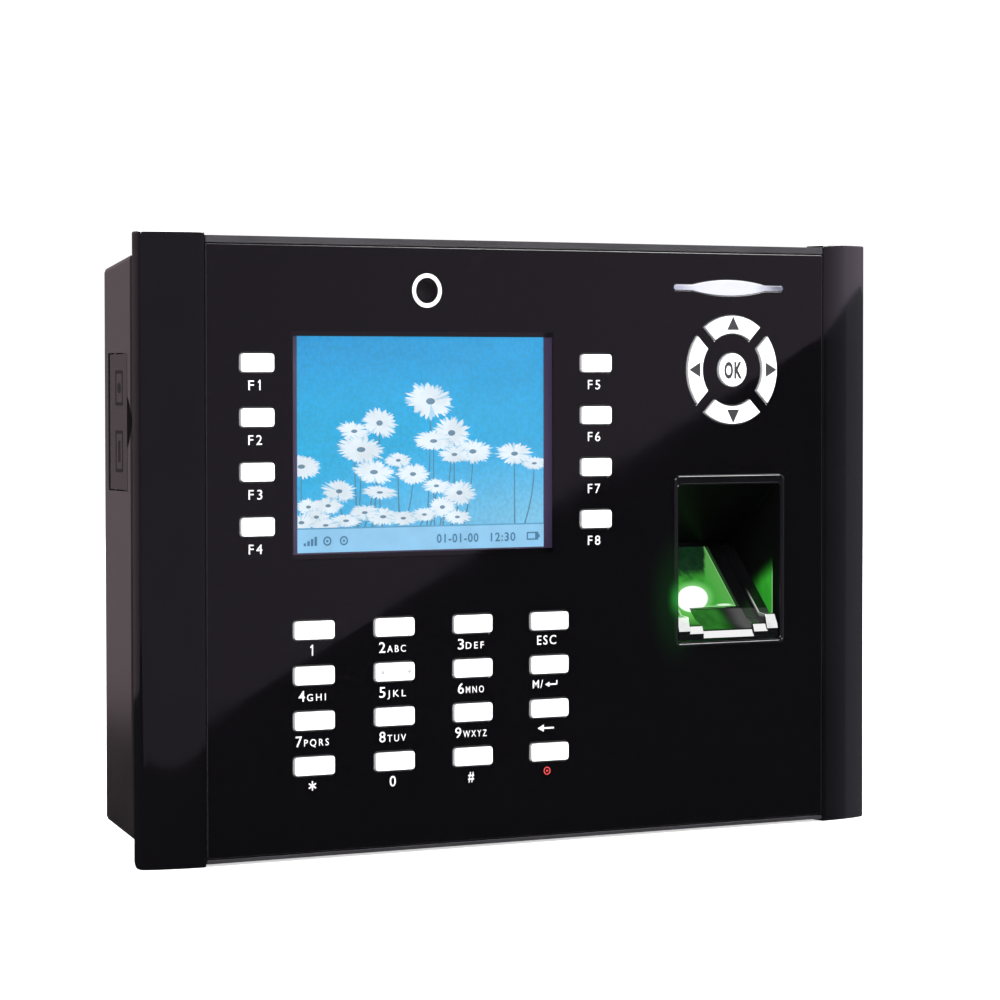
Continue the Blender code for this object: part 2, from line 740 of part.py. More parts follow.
def make_sensor_prism(shop):
    """The glass block whose sloping face is the platen."""
    x = SENSOR_X
    low_z = PLATEN_LOW[1] + GAP
    top_z = PLATEN_TOP_Z
    loop = [
        (guide_face(low_z, 0.0), low_z), (guide_face(top_z, 0.0), top_z),
        (guide_face(top_z, 0.0), top_z - 9.0), (guide_face(low_z, 0.0) + 5.5, low_z),
    ]
    reach = PLATEN_HALF_WIDTH - GAP
    shop.part(prism([loop], "X", x - reach, x + reach), "sensor_prism", "prism_glass")


def make_sensor_board(shop):
    """The image sensor's board, standing below and behind the prism."""
    x = SENSOR_X
    board = box(x - 14.0, x + 14.0, 19.6, 20.8, -27.0, -16.0)
    sensor = shop.part(board, "sensor_board", "circuit_board")
    shop.join(sensor, box(x - 4.0, x + 4.0, 14.5, 20.0, -24.5, -19.2))


# ---------------------------------------------------------------- rear housing and wall plate

def screw_places():
    return [(side * SCREW_X, z) for side in (-1, 1) for z in SCREW_ROWS]


def screw_boss(x, z, front, back):
    location = (x * MM, row_y((front + back) / 2), z * MM)
    return cylinder(BOSS_R, back - front, location, "Y")


def screw_hole(x, z, front, length):
    location = (x * MM, row_y(front + length / 2), z * MM)
    return cylinder(SCREW_HOLE_R, length, location, "Y")


def counterbored_hole(x, z):
    """A screw's way through the housing, from its boss's front to the rear panel."""
    head_r = SCREW_HEAD_R + GAP
    back = PANEL_BACK + 1.0
    profile = [(0.0, HOUSING_FRONT - 1.0), (SCREW_HOLE_R, HOUSING_FRONT - 1.0),
               (SCREW_HOLE_R, COUNTERBORE_DEPTH), (head_r, COUNTERBORE_DEPTH),
               (head_r, back), (0.0, back)]
    return turned(profile, (x * MM, row_y(0.0), z * MM), "Y")


def make_rear_housing(shop):
    """The tub that holds everything, with a rear panel set in from its rim."""
    body = tapered_block(HOUSING_FRONT, HOUSING_BACK, 0.0)
    housing = shop.part(body, "rear_housing", "housing_grey")
    bevel(housing, 1.2, 2)
    cavity = tapered_block(HOUSING_FRONT - 2.0, PANEL_FRONT, WALL)
    shop.cut(housing, cavity, tapered_block(PANEL_BACK, HOUSING_BACK + 2.0, WALL))
    bosses = [screw_boss(x, z, HOUSING_FRONT + 0.2, PANEL_BACK - 0.2) for x, z in screw_places()]
    shop.join(housing, door_backing(), *bosses)
    openings = [counterbored_hole(x, z) for x, z in screw_places()]
    openings += panel_openings() + floor_openings()
    shop.cut(housing, door_seat(), *openings)
    shop.cut(housing, door_window(), door_notch())
    shop.cut(housing, door_pin_hole())


def panel_openings():
    """The cable opening, the hooks' slots and the tamper plunger's hole in the rear panel."""
    front = PANEL_FRONT - 1.0
    back = PANEL_BACK + 1.0
    x0, x1, z0, z1 = CABLE_OPENING
    cutters = [box(x0, x1, front, back, z0, z1)]
    reach = HOOK_WIDTH / 2 + 1.0
    for x in (-HOOK_X, HOOK_X):
        cutters += [box(x - reach, x + reach, front, back, z - 1.5, z + 6.0) for z in HOOK_ROWS]
    location = (TAMPER_X * MM, row_y((front + back) / 2), TAMPER_Z * MM)
    cutters.append(cylinder(TAMPER_R + GAP, back - front, location, "Y"))
    return cutters


def floor_openings():
    """The security screw's hole and the speaker's slots in the bottom wall."""
    y = row_y(SECURITY_SCREW_DEPTH)
    z = HOUSING_BOTTOM + 2.5
    cutters = [cylinder(SCREW_HOLE_R, 8.0, (SECURITY_SCREW_X * MM, y, z * MM), "Z")]
    low = HOUSING_BOTTOM - 1.0
    for i in range(SPEAKER_SLOTS):
        x = RIGHT_COLUMN_X + (i - (SPEAKER_SLOTS - 1) / 2) * SPEAKER_PITCH
        half = SPEAKER_SLOT_WIDTH / 2
        cutters.append(box(x - half, x + half, 12.0, 20.0, low, low + 8.0))
    return cutters


def make_wall_plate(shop):
    """A steel plate that screws to the wall, with hooks for the housing to hang on."""
    front = TOTAL_DEPTH - PLATE_THICKNESS
    middle_z = (PLATE_BOTTOM + PLATE_TOP) / 2
    loops = [rounded_rect(0.0, middle_z, 2 * PLATE_HALF_WIDTH, PLATE_TOP - PLATE_BOTTOM, 4.0)]
    loops.append(rounded_rect(*PLATE_CABLE_HOLE, 3.0))
    for x in (-PLATE_SCREW_X, PLATE_SCREW_X):
        loops += [circle(x, z, PLATE_SCREW_HOLE_R, 16) for z in PLATE_SCREW_ROWS]
    plate = shop.part(prism(loops, "Y", front, TOTAL_DEPTH), "wall_plate", "steel")
    hooks = [plate_hook(x, z) for x in (-HOOK_X, HOOK_X) for z in HOOK_ROWS]
    x = SECURITY_SCREW_X
    depth = SECURITY_SCREW_DEPTH
    tab_loops = [rectangle(x - 6.0, x + 6.0, depth - 5.0, front + 0.5)]
    tab_loops.append(circle(x, depth, SCREW_HOLE_R, 16))
    tab = prism(tab_loops, "Z", PLATE_BOTTOM + 0.2, PLATE_BOTTOM + 0.2 + PLATE_THICKNESS)
    shop.join(plate, tab, *hooks)


def plate_hook(x, z):
    """A tongue bent forward from the plate and up behind the rear panel."""
    back = TOTAL_DEPTH - PLATE_THICKNESS + 0.5
    front = PANEL_FRONT - GAP - PLATE_THICKNESS
    thick = PLATE_THICKNESS
    loop = [(front, z), (back, z), (back, z + thick), (front + thick, z + thick),
            (front + thick, z + 3.0 * thick), (front, z + 3.0 * thick)]
    return prism([loop], "X", x - HOOK_WIDTH / 2, x + HOOK_WIDTH / 2)


def make_screws(shop):
    """Four housing screws from behind, and the security screw from below."""
    head_front = SCREW_HEAD_BACK - 2.0
    profile = [(0.0, 5.0), (SCREW_R, 5.0), (SCREW_R, head_front), (SCREW_HEAD_R, head_front),
               (SCREW_HEAD_R, SCREW_HEAD_BACK), (0.0, SCREW_HEAD_BACK)]
    for number, (x, z) in enumerate(screw_places(), start=1):
        solid = turned(profile, (x * MM, row_y(0.0), z * MM), "Y", 20)
        screw = shop.part(solid, f"housing_screw_{number}", "zinc")
        deep = SCREW_HEAD_BACK - 0.8
        slot = box(x - 2.0, x + 2.0, deep, SCREW_HEAD_BACK + 1.0, z - 0.4, z + 0.4)
        shop.cut(screw, slot)
    surface = HOUSING_BOTTOM + (SECURITY_SCREW_DEPTH - HOUSING_FRONT) * HOUSING_END_DRAFT
    location = (SECURITY_SCREW_X * MM, row_y(SECURITY_SCREW_DEPTH), (surface - 0.6) * MM)
    profile = [(0.0, -1.8), (SCREW_HEAD_R, -1.8), (SCREW_HEAD_R, 0.0), (SCREW_R, 0.0),
               (SCREW_R, 9.7), (0.0, 9.7)]
    screw = shop.part(turned(profile, location, "Z", 20), "security_screw", "zinc")
    socket = cylinder(1.1, 2.0, Vector(location) - Vector((0, 0, 1.6 * MM)), "Z", 6)
    shop.cut(screw, socket)


# ---------------------------------------------------------------- service door

def door_frame():
    """World matrix of the hinge: local -Y runs forward on the side face, local -X is outward."""
    tilt = math.atan(HOUSING_SIDE_DRAFT)
    face_x = -(HOUSING_HALF_WIDTH - (DOOR_HINGE_DEPTH - HOUSING_FRONT) * HOUSING_SIDE_DRAFT)
    x = face_x + DOOR_BARREL_R / math.cos(tilt)
    origin = Vector((x * MM, row_y(DOOR_HINGE_DEPTH), DOOR_Z * MM))
    return Matrix.Translation(origin) @ Matrix.Rotation(-tilt, 4, "Z")


def hinge_prism(loops, height):
    """Extrude (outward, forward) outlines along the hinge's axis."""
    local = [[(-out, -forward) for out, forward in loop] for loop in loops]
    solid = flat_solid(local, height)
    solid.matrix_world = door_frame()
    return solid


def hinge_section(barrel_r, outer, inner, length):
    """A flap with a round barrel at its rear end, seen along the hinge's axis."""
    meet = 180.0 - math.degrees(math.acos(-inner / barrel_r))
    start = 0.0 if outer <= barrel_r else -90.0
    barrel = arc(0.0, 0.0, barrel_r, start, meet - 360.0, 16)
    back = [] if outer <= barrel_r else [(outer, -barrel_r)]
    return back + barrel + [(inner, length), (outer, length)]


def make_door(shop):
    """A flap with its hinge barrel inside its rear edge."""
    hinge = bpy.data.objects.new("usb_door_hinge", None)
    hinge.matrix_world = door_frame()
    shop.parts.objects.link(hinge)
    hinge.parent = shop.root
    inner = DOOR_BARREL_R - DOOR_THICKNESS
    section = hinge_section(DOOR_BARREL_R, DOOR_BARREL_R, inner, DOOR_LENGTH)
    loops = [section, circle(0.0, 0.0, DOOR_PIN_HOLE_R, 16)]
    door = shop.part(hinge_prism(loops, DOOR_HEIGHT), "usb_door", "housing_grey", hinge)
    door.matrix_parent_inverse = hinge.matrix_world.inverted()
    pin = hinge_prism([circle(0.0, 0.0, DOOR_PIN_R, 16)], DOOR_PIN_LENGTH)
    shop.part(pin, "door_pin", "steel")


def door_backing():
    """The thicker wall around the door, inside the housing."""
    back = -DOOR_BARREL_R - DOOR_SEAT_GAP - 0.8
    front = DOOR_LENGTH + 2.6
    return hinge_prism([[(0.4, back), (0.4, front), (-3.6, front), (-3.6, back)]], DOOR_HEIGHT + 6.0)


def door_seat():
    floor = DOOR_BARREL_R - DOOR_THICKNESS - GAP
    barrel_seat_r = DOOR_BARREL_R + DOOR_SEAT_GAP
    section = hinge_section(barrel_seat_r, DOOR_BARREL_R + 3.0, floor, DOOR_LENGTH + GAP)
    return hinge_prism([section], DOOR_HEIGHT + 2 * GAP)


def door_window():
    """The opening in the seat's floor, in front of the sockets."""
    front = DOOR_LENGTH - 1.6
    return hinge_prism([[(0.0, 2.2), (0.0, front), (-8.0, front), (-8.0, 2.2)]], DOOR_HEIGHT - 4.0)


def door_notch():
    """A shallow round scoop for a fingernail at the door's front edge."""
    notch = cylinder(NOTCH_R, 2 * NOTCH_DEPTH, (0.0, 0.0, 0.0), "X", 48)
    centre = Vector((-DOOR_BARREL_R * MM, -(DOOR_LENGTH + NOTCH_REACH - NOTCH_R) * MM, 0.0))
    notch.matrix_world = door_frame() @ Matrix.Translation(centre)
    return notch


def door_pin_hole():
    return hinge_prism([circle(0.0, 0.0, DOOR_PIN_HOLE_R, 16)], DOOR_PIN_LENGTH + 2 * GAP)


# ---------------------------------------------------------------- electronics

def board_openings(grow):
    """Openings for the display, the sensor pocket and the camera."""
    half_w = LCD_SIZE[0] / 2 + 1.0 + grow
    half_h = LCD_SIZE[1] / 2 + 1.0 + grow
    z = LCD_Z - LCD_DROP
    sensor = RECESS_HALF_WIDTH + SENSOR_WALL + 0.8 + grow
    low = RECESS_BOTTOM - SENSOR_WALL - 0.8 - grow
    high = RECESS_TOP + SENSOR_WALL + 0.8 + grow
    camera = CAMERA_SIZE / 2 + 0.7 + grow
    return [
        rectangle(LCD_X - half_w, LCD_X + half_w, z - half_h, z + half_h),
        rectangle(SENSOR_X - sensor, SENSOR_X + sensor, low, high),
        rectangle(LCD_X - camera, LCD_X + camera, CAMERA_Z - camera, KEY_BOARD[3] + 1.0 - grow),
    ]


def make_key_boards(shop):
    """The key membrane and the board under it, with the same outline and openings."""
    sheets = (
        ("key_membrane", "rubber", MEMBRANE_FRONT, MEMBRANE_THICKNESS, 0.5),
        ("key_board", "circuit_board", BOARD_FRONT, BOARD_THICKNESS, 0.0),
    )
    for name, finish, front, thickness, inset in sheets:
        x0, x1, z0, z1 = KEY_BOARD
        outline = chamfered_rect(x0 + inset, x1 - inset, z0 + inset, z1 - inset, KEY_BOARD_CHAMFER)
        lcd_hole, sensor_hole, camera_notch = board_openings(inset)
        loops = [outline, lcd_hole, sensor_hole]
        sheet = shop.part(prism(loops, "Y", front, front + thickness), name, finish)
        shop.cut(sheet, prism([camera_notch], "Y", front - 1.0, front + thickness + 1.0))


def make_main_board(shop):
    board = prism([rectangle(*MAIN_BOARD)], "Y", MAIN_BOARD_FRONT, MAIN_BOARD_FRONT + BOARD_THICKNESS)
    main = shop.part(board, "main_board", "circuit_board")
    back = MAIN_BOARD_FRONT + BOARD_THICKNESS
    chip = box(-28.0, -10.0, back - 0.5, back + 1.6, 14.0, 32.0)
    memory = box(0.0, 12.0, back - 0.5, back + 1.2, 16.0, 24.0)
    shop.join(main, chip, memory)


def make_connectors(shop):
    """The network jack and the wiring block in the cable bay, and the sockets by the door."""
    back = MAIN_BOARD_FRONT + BOARD_THICKNESS + GAP
    jack = shop.part(box(-4.0, 12.0, back, back + 12.6, -56.0, -35.0), "ethernet_jack", "zinc")
    shop.cut(jack, box(-1.9, 9.9, back + 2.5, back + 9.5, -58.0, -42.0))
    block = box(17.0, 35.0, back, back + 10.0, -56.0, -46.0)
    terminals = shop.part(block, "terminal_block", "connector_green")
    middles = [21.05 + i * TERMINAL_PITCH for i in range(4)]
    mouths = [box(x - 1.3, x + 1.3, back + 2.5, back + 6.5, -58.0, -50.0) for x in middles]
    screws = [cylinder(1.3, 2.4, (x * MM, row_y(back + 10.0), -0.049), "Y", 12) for x in middles]
    shop.cut(terminals, *mouths, *screws)
    mouth = SOCKET_MOUTH_X
    usb = shop.part(box(mouth, mouth + 14.0, 14.0, 19.8, 16.8, 30.0), "usb_socket", "steel")
    shop.cut(usb, box(mouth - 1.0, mouth + 11.0, 14.5, 19.3, 17.3, 29.5))
    shop.join(usb, box(USB_TONGUE_X, mouth + 11.5, 15.2, 17.0, 17.9, 28.9))
    mini = shop.part(box(mouth, mouth + 7.0, 14.9, 18.9, 34.6, 42.3), "service_socket", "steel")
    shop.cut(mini, box(mouth - 1.0, mouth + 5.0, 15.4, 18.4, 35.1, 41.8))


def make_power_and_sound(shop):
    """The back-up battery behind the main board, and the speaker over its slots."""
    back = MAIN_BOARD_FRONT + BOARD_THICKNESS + GAP
    battery = shop.part(box(-76.0, -40.0, back, back + 7.5, -52.0, -4.0), "battery", "battery_wrap")
    bevel(battery, 1.2, 2)
    x = RIGHT_COLUMN_X
    speaker = shop.part(box(x - 14.0, x + 14.0, 9.2, 22.8, -60.0, -56.0), "speaker", "component")
    shop.join(speaker, box(x - 7.0, x + 7.0, 11.0, 21.0, -56.5, -51.0))


def make_tamper_switch(shop):
    """A switch behind the rear panel, with a plunger that the wall plate holds in."""
    body = box(TAMPER_X - 4.0, TAMPER_X + 4.0, 15.0, PANEL_FRONT - GAP, TAMPER_Z - 4.0, TAMPER_Z + 4.0)
    switch = shop.part(body, "tamper_switch", "component")
    bore = (TAMPER_X * MM, row_y(PANEL_FRONT - GAP), TAMPER_Z * MM)
    shop.cut(switch, cylinder(TAMPER_R + GAP, 7.0, bore, "Y", 16))
    front = 21.2
    back = TOTAL_DEPTH - PLATE_THICKNESS - GAP
    middle = (TAMPER_X * MM, row_y((front + back) / 2), TAMPER_Z * MM)
    shop.part(cylinder(TAMPER_R, back - front, middle, "Y", 16), "tamper_plunger", "key_white")


def build():
    clear_scene()
    shop = Workshop()
    make_rails(shop)
    make_front_frame(shop)
    make_front_panel(shop)
    make_keys(shop)
    make_lamp(shop)
    make_camera(shop)
    make_display(shop)
    make_sensor_bezel(shop)
    make_sensor_guide(shop)
    make_sensor_prism(shop)
    make_sensor_board(shop)
    make_rear_housing(shop)
    make_wall_plate(shop)
    make_screws(shop)
    make_door(shop)
    make_key_boards(shop)
    make_main_board(shop)
    make_connectors(shop)
    make_power_and_sound(shop)
    make_tamper_switch(shop)


build()
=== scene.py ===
"""Looks of a wall-mounted fingerprint scanner terminal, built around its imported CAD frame.

The frame is in metres: +Z is up, the front faces -Y and the origin is behind the wall plate.
Sizes that are named here are millimetres, and a depth is a distance behind the glass front.
"""

import math
import random

import bmesh
import bpy
from mathutils import Matrix, Vector
from mathutils.geometry import tessellate_polygon

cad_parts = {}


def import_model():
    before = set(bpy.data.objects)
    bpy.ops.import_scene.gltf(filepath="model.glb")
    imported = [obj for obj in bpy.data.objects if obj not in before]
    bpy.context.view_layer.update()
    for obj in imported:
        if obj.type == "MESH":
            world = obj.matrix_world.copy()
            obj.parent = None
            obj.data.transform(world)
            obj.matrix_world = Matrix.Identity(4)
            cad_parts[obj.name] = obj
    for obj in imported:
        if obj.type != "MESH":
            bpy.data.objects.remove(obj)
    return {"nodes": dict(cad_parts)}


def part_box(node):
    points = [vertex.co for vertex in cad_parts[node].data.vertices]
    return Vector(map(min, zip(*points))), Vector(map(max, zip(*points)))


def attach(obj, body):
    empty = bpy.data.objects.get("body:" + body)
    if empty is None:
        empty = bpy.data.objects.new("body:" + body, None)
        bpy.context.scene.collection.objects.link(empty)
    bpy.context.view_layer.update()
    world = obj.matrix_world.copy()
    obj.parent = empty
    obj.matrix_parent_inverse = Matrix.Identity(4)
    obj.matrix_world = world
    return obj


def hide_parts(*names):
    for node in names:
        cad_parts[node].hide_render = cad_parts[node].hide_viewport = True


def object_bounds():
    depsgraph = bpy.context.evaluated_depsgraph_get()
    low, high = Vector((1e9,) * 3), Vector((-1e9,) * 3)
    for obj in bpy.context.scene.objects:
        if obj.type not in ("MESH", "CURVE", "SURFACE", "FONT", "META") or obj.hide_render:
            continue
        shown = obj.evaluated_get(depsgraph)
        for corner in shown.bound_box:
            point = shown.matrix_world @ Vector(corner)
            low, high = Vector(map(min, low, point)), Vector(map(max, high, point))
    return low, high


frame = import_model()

MM = 0.001
ROOT = "terminal"
CAD_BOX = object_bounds()


# ---------------------------------------------------------------- places from the frame

def box_mm(node):
    """A node's lowest and highest corners in millimetres."""
    low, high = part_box(node)
    return low / MM, high / MM


PANEL_LOW, PANEL_HIGH = box_mm("front_panel")
GLASS_Y = PANEL_LOW.y
GLASS_THICKNESS = PANEL_HIGH.y - PANEL_LOW.y
FLANGE = 0.8
FLANGE_FRONT = 2.3
FLANGE_BACK = 3.1
KEY_FRONT = -0.8
KEY_CORNER = 0.8
KEY_CLEARANCE = 0.22
LAMP_CLEARANCE = 0.12
GLASS_CHAMFER = 0.15
SENSOR_HOLE_CORNER = 0.8
RIM_LAP = 0.4
RIM_CORNER = 1.6
RECESS_HALF_WIDTH = 15.9
RECESS_LOW = -26.7
RECESS_HIGH = 13.4

KEY_NAMES = sorted(name for name in frame["nodes"] if name.startswith("key_") and name[4:] not in
                   ("board", "membrane"))
NAV_ANGLES = {"nav_right": 0.0, "nav_up": 90.0, "nav_left": 180.0, "nav_down": 270.0}
NAV_INNER_R = 9.35
NAV_SPOKE = 3.2
REAR_CURVE = 2.5
LAMP_BAR = 1.4
LAMP_LENS_LENGTH = 22.7
LAMP_LENS_HEIGHT = 4.0


def middle(node):
    """The x and z of a node's middle."""
    low, high = box_mm(node)
    return (low.x + high.x) / 2, (low.z + high.z) / 2


def half_size(node, trim=0.0):
    """Half the width and height of a node, less a trim on every side."""
    low, high = box_mm(node)
    return (high.x - low.x) / 2 - trim, (high.z - low.z) / 2 - trim


NAV_X, NAV_Z = middle("nav_ok")
NAV_OUTER_R = box_mm("nav_up")[1].z - NAV_Z - FLANGE
NAV_OK_R = half_size("nav_ok", FLANGE)[0]
LAMP_X, LAMP_Z = middle("indicator_lens")
LAMP_HALF = half_size("indicator_lens", FLANGE)[0]
LCD_X = middle("lcd_panel")[0]
CAMERA_X, CAMERA_Z = middle("camera_module")
DOOR_FRONT_X = 105.9
DOOR_FRONT_DEPTH = 7.7
SIDE_DRAFT = 2.5 / 20.7
SCREEN_WIDTH = 70.08
SCREEN_HEIGHT = 52.56
SCREEN_Z = box_mm("key_f1")[1].z - FLANGE - 2.25 - 1.5 * 13.06


def world(x, depth, z):
    """A point in metres from x, depth and z in millimetres."""
    return Vector((x, GLASS_Y + depth, z)) * MM


# ---------------------------------------------------------------- outlines

def arc(cx, cz, radius, start, end, steps):
    """Points of an arc, with its angles in degrees."""
    points = []
    for i in range(steps + 1):
        angle = math.radians(start + (end - start) * i / steps)
        points.append((cx + radius * math.cos(angle), cz + radius * math.sin(angle)))
    return points


def circle(cx, cz, radius, steps=48):
    return arc(cx, cz, radius, 0.0, 360.0, steps)[:-1]


def rounded_rect(cx, cz, half_w, half_h, radius, steps=6):
    """A rounded rectangle, counterclockwise from its upper right corner."""
    radius = max(radius, 0.02)
    points = []
    for sx, sz, start in ((1, 1, 0.0), (-1, 1, 90.0), (-1, -1, 180.0), (1, -1, 270.0)):
        x = cx + sx * (half_w - radius)
        z = cz + sz * (half_h - radius)
        points += arc(x, z, radius, start, start + 90.0, steps)
    return points


def key_outline(node):
    """A function from growth to the outline of a rectangular key."""
    x, z = middle(node)
    half_w, half_h = half_size(node, FLANGE)
    return lambda grow: rounded_rect(x, z, half_w + grow, half_h + grow, KEY_CORNER + grow)


def nav_outline(direction):
    """A quarter ring whose ends run parallel to the diagonals between the arrow keys."""
    def outline(grow):
        half_spoke = NAV_SPOKE / 2 - grow
        outer = NAV_OUTER_R + grow
        inner = NAV_INNER_R - grow
        outer_half = 45.0 - math.degrees(math.asin(half_spoke / outer))
        inner_half = 45.0 - math.degrees(math.asin(half_spoke / inner))
        points = arc(NAV_X, NAV_Z, outer, direction - outer_half, direction + outer_half, 24)
        return points + arc(NAV_X, NAV_Z, inner, direction + inner_half, direction - inner_half, 18)
    return outline


def lamp_outline(grow):
    """A thin bar with a pointed lens shape in its middle."""
    bar = LAMP_BAR / 2 + grow
    half_lens = LAMP_LENS_LENGTH / 2
    rise = LAMP_LENS_HEIGHT / 2 + grow - bar
    radius = (half_lens ** 2 + rise ** 2) / (2 * rise)
    reach = math.degrees(math.asin(half_lens / radius))
    end_x = LAMP_HALF - LAMP_BAR / 2
    centre = bar + rise - radius
    points = arc(LAMP_X + end_x, LAMP_Z, bar, -90.0, 90.0, 10)
    points += arc(LAMP_X, LAMP_Z + centre, radius, 90.0 - reach, 90.0 + reach, 28)
    points += arc(LAMP_X - end_x, LAMP_Z, bar, 90.0, 270.0, 10)
    points += arc(LAMP_X, LAMP_Z - centre, radius, 270.0 - reach, 270.0 + reach, 28)
    return points


# ---------------------------------------------------------------- mesh building

def make_piece(name, mesh, materials, body=ROOT, replaces=(), smooth_angle=35.0):
    """File a mesh, or a bmesh that is still open, as a piece that rides on a body."""
    if isinstance(mesh, bmesh.types.BMesh):
        mesh = finish_mesh(mesh, name)
    for material in materials:
        mesh.materials.append(material)
    mesh.shade_smooth()
    mesh.set_sharp_from_angle(angle=math.radians(smooth_angle))
    for polygon in mesh.polygons:
        polygon.use_smooth = abs(polygon.normal.y) < 0.9999
    piece = bpy.data.objects.new(name, mesh)
    bpy.context.scene.collection.objects.link(piece)
    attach(piece, body)
    if replaces:
        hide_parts(*replaces)
    return piece


def finish_mesh(bm, name, recalc=True):
    if recalc:
        bmesh.ops.recalc_face_normals(bm, faces=bm.faces)
    mesh = bpy.data.meshes.new(name)
    bm.to_mesh(mesh)
    bm.free()
    return mesh


def add_ring(bm, points, depth):
    return [bm.verts.new(world(x, depth, z)) for x, z in points]


def bridge(bm, ring_a, ring_b, material=0):
    """Quads between two rings of the same length."""
    count = len(ring_a)
    for i in range(count):
        j = (i + 1) % count
        face = bm.faces.new((ring_a[i], ring_a[j], ring_b[j], ring_b[i]))
        face.material_index = material


def close_rings(bm, rings):
    """Walls between rings that follow each other, and a cap at both ends."""
    for ring_a, ring_b in zip(rings, rings[1:]):
        bridge(bm, ring_a, ring_b)
    bm.faces.new(rings[0])
    bm.faces.new(rings[-1])


def loft(name, sections):
    """A closed solid through (outline points, depth) sections, capped at both ends."""
    bm = bmesh.new()
    close_rings(bm, [add_ring(bm, points, depth) for points, depth in sections])
    return finish_mesh(bm, name)


def fill_loops(bm, rings, material=0):
    """Triangles that fill an outer ring around its holes."""
    flat = [vert for ring in rings for vert in ring]
    polygons = [[vert.co for vert in ring] for ring in rings]
    for a, b, c in tessellate_polygon(polygons):
        face = bm.faces.new((flat[a], flat[b], flat[c]))
        face.material_index = material


def plate_with_holes(name, outer, holes, front, back, chamfer):
    """A plate whose front edges are chamfered; the walls have the second material."""
    bm = bmesh.new()
    front_rings = []
    back_rings = []
    for outline, sign in [(outer, -1.0)] + [(hole, 1.0) for hole in holes]:
        steps = ((sign * chamfer, front), (sign * chamfer * 0.3, front + chamfer * 0.3),
                 (0.0, front + chamfer), (0.0, back))
        rings = [add_ring(bm, outline(grow), depth) for grow, depth in steps]
        for ring_a, ring_b in zip(rings, rings[1:]):
            bridge(bm, ring_a, ring_b, 1)
        front_rings.append(rings[0])
        back_rings.append(rings[-1])
    fill_loops(bm, front_rings)
    fill_loops(bm, back_rings)
    return finish_mesh(bm, name)


def flat_shape(bm, points, depth, material=0):
    face = bm.faces.new([bm.verts.new(world(x, depth, z)) for x, z in points])
    face.material_index = material
    return face


def slab(bm, points, front, back, material=0):
    """A thin closed plate with the given outline."""
    front_ring = add_ring(bm, points, front)
    back_ring = add_ring(bm, points, back)
    bridge(bm, front_ring, back_ring, material)
    for ring in (front_ring, back_ring):
        bm.faces.new(ring).material_index = material


# ---------------------------------------------------------------- materials

def math_node(operation):
    """An operator of Value that adds a math node."""
    return lambda value, other=0.0: value.shader.math(operation, value, other)


class Value:
    """A number that a material works out at each point; arithmetic on it adds math nodes."""

    def __init__(self, shader, socket):
        self.shader = shader
        self.socket = socket

    def __rsub__(self, other):
        return self.shader.math("SUBTRACT", other, self)

    __add__ = math_node("ADD")
    __sub__ = math_node("SUBTRACT")
    __mul__ = math_node("MULTIPLY")
    __pow__ = math_node("POWER")
    __lt__ = math_node("LESS_THAN")
    __gt__ = math_node("GREATER_THAN")
    __abs__ = math_node("ABSOLUTE")


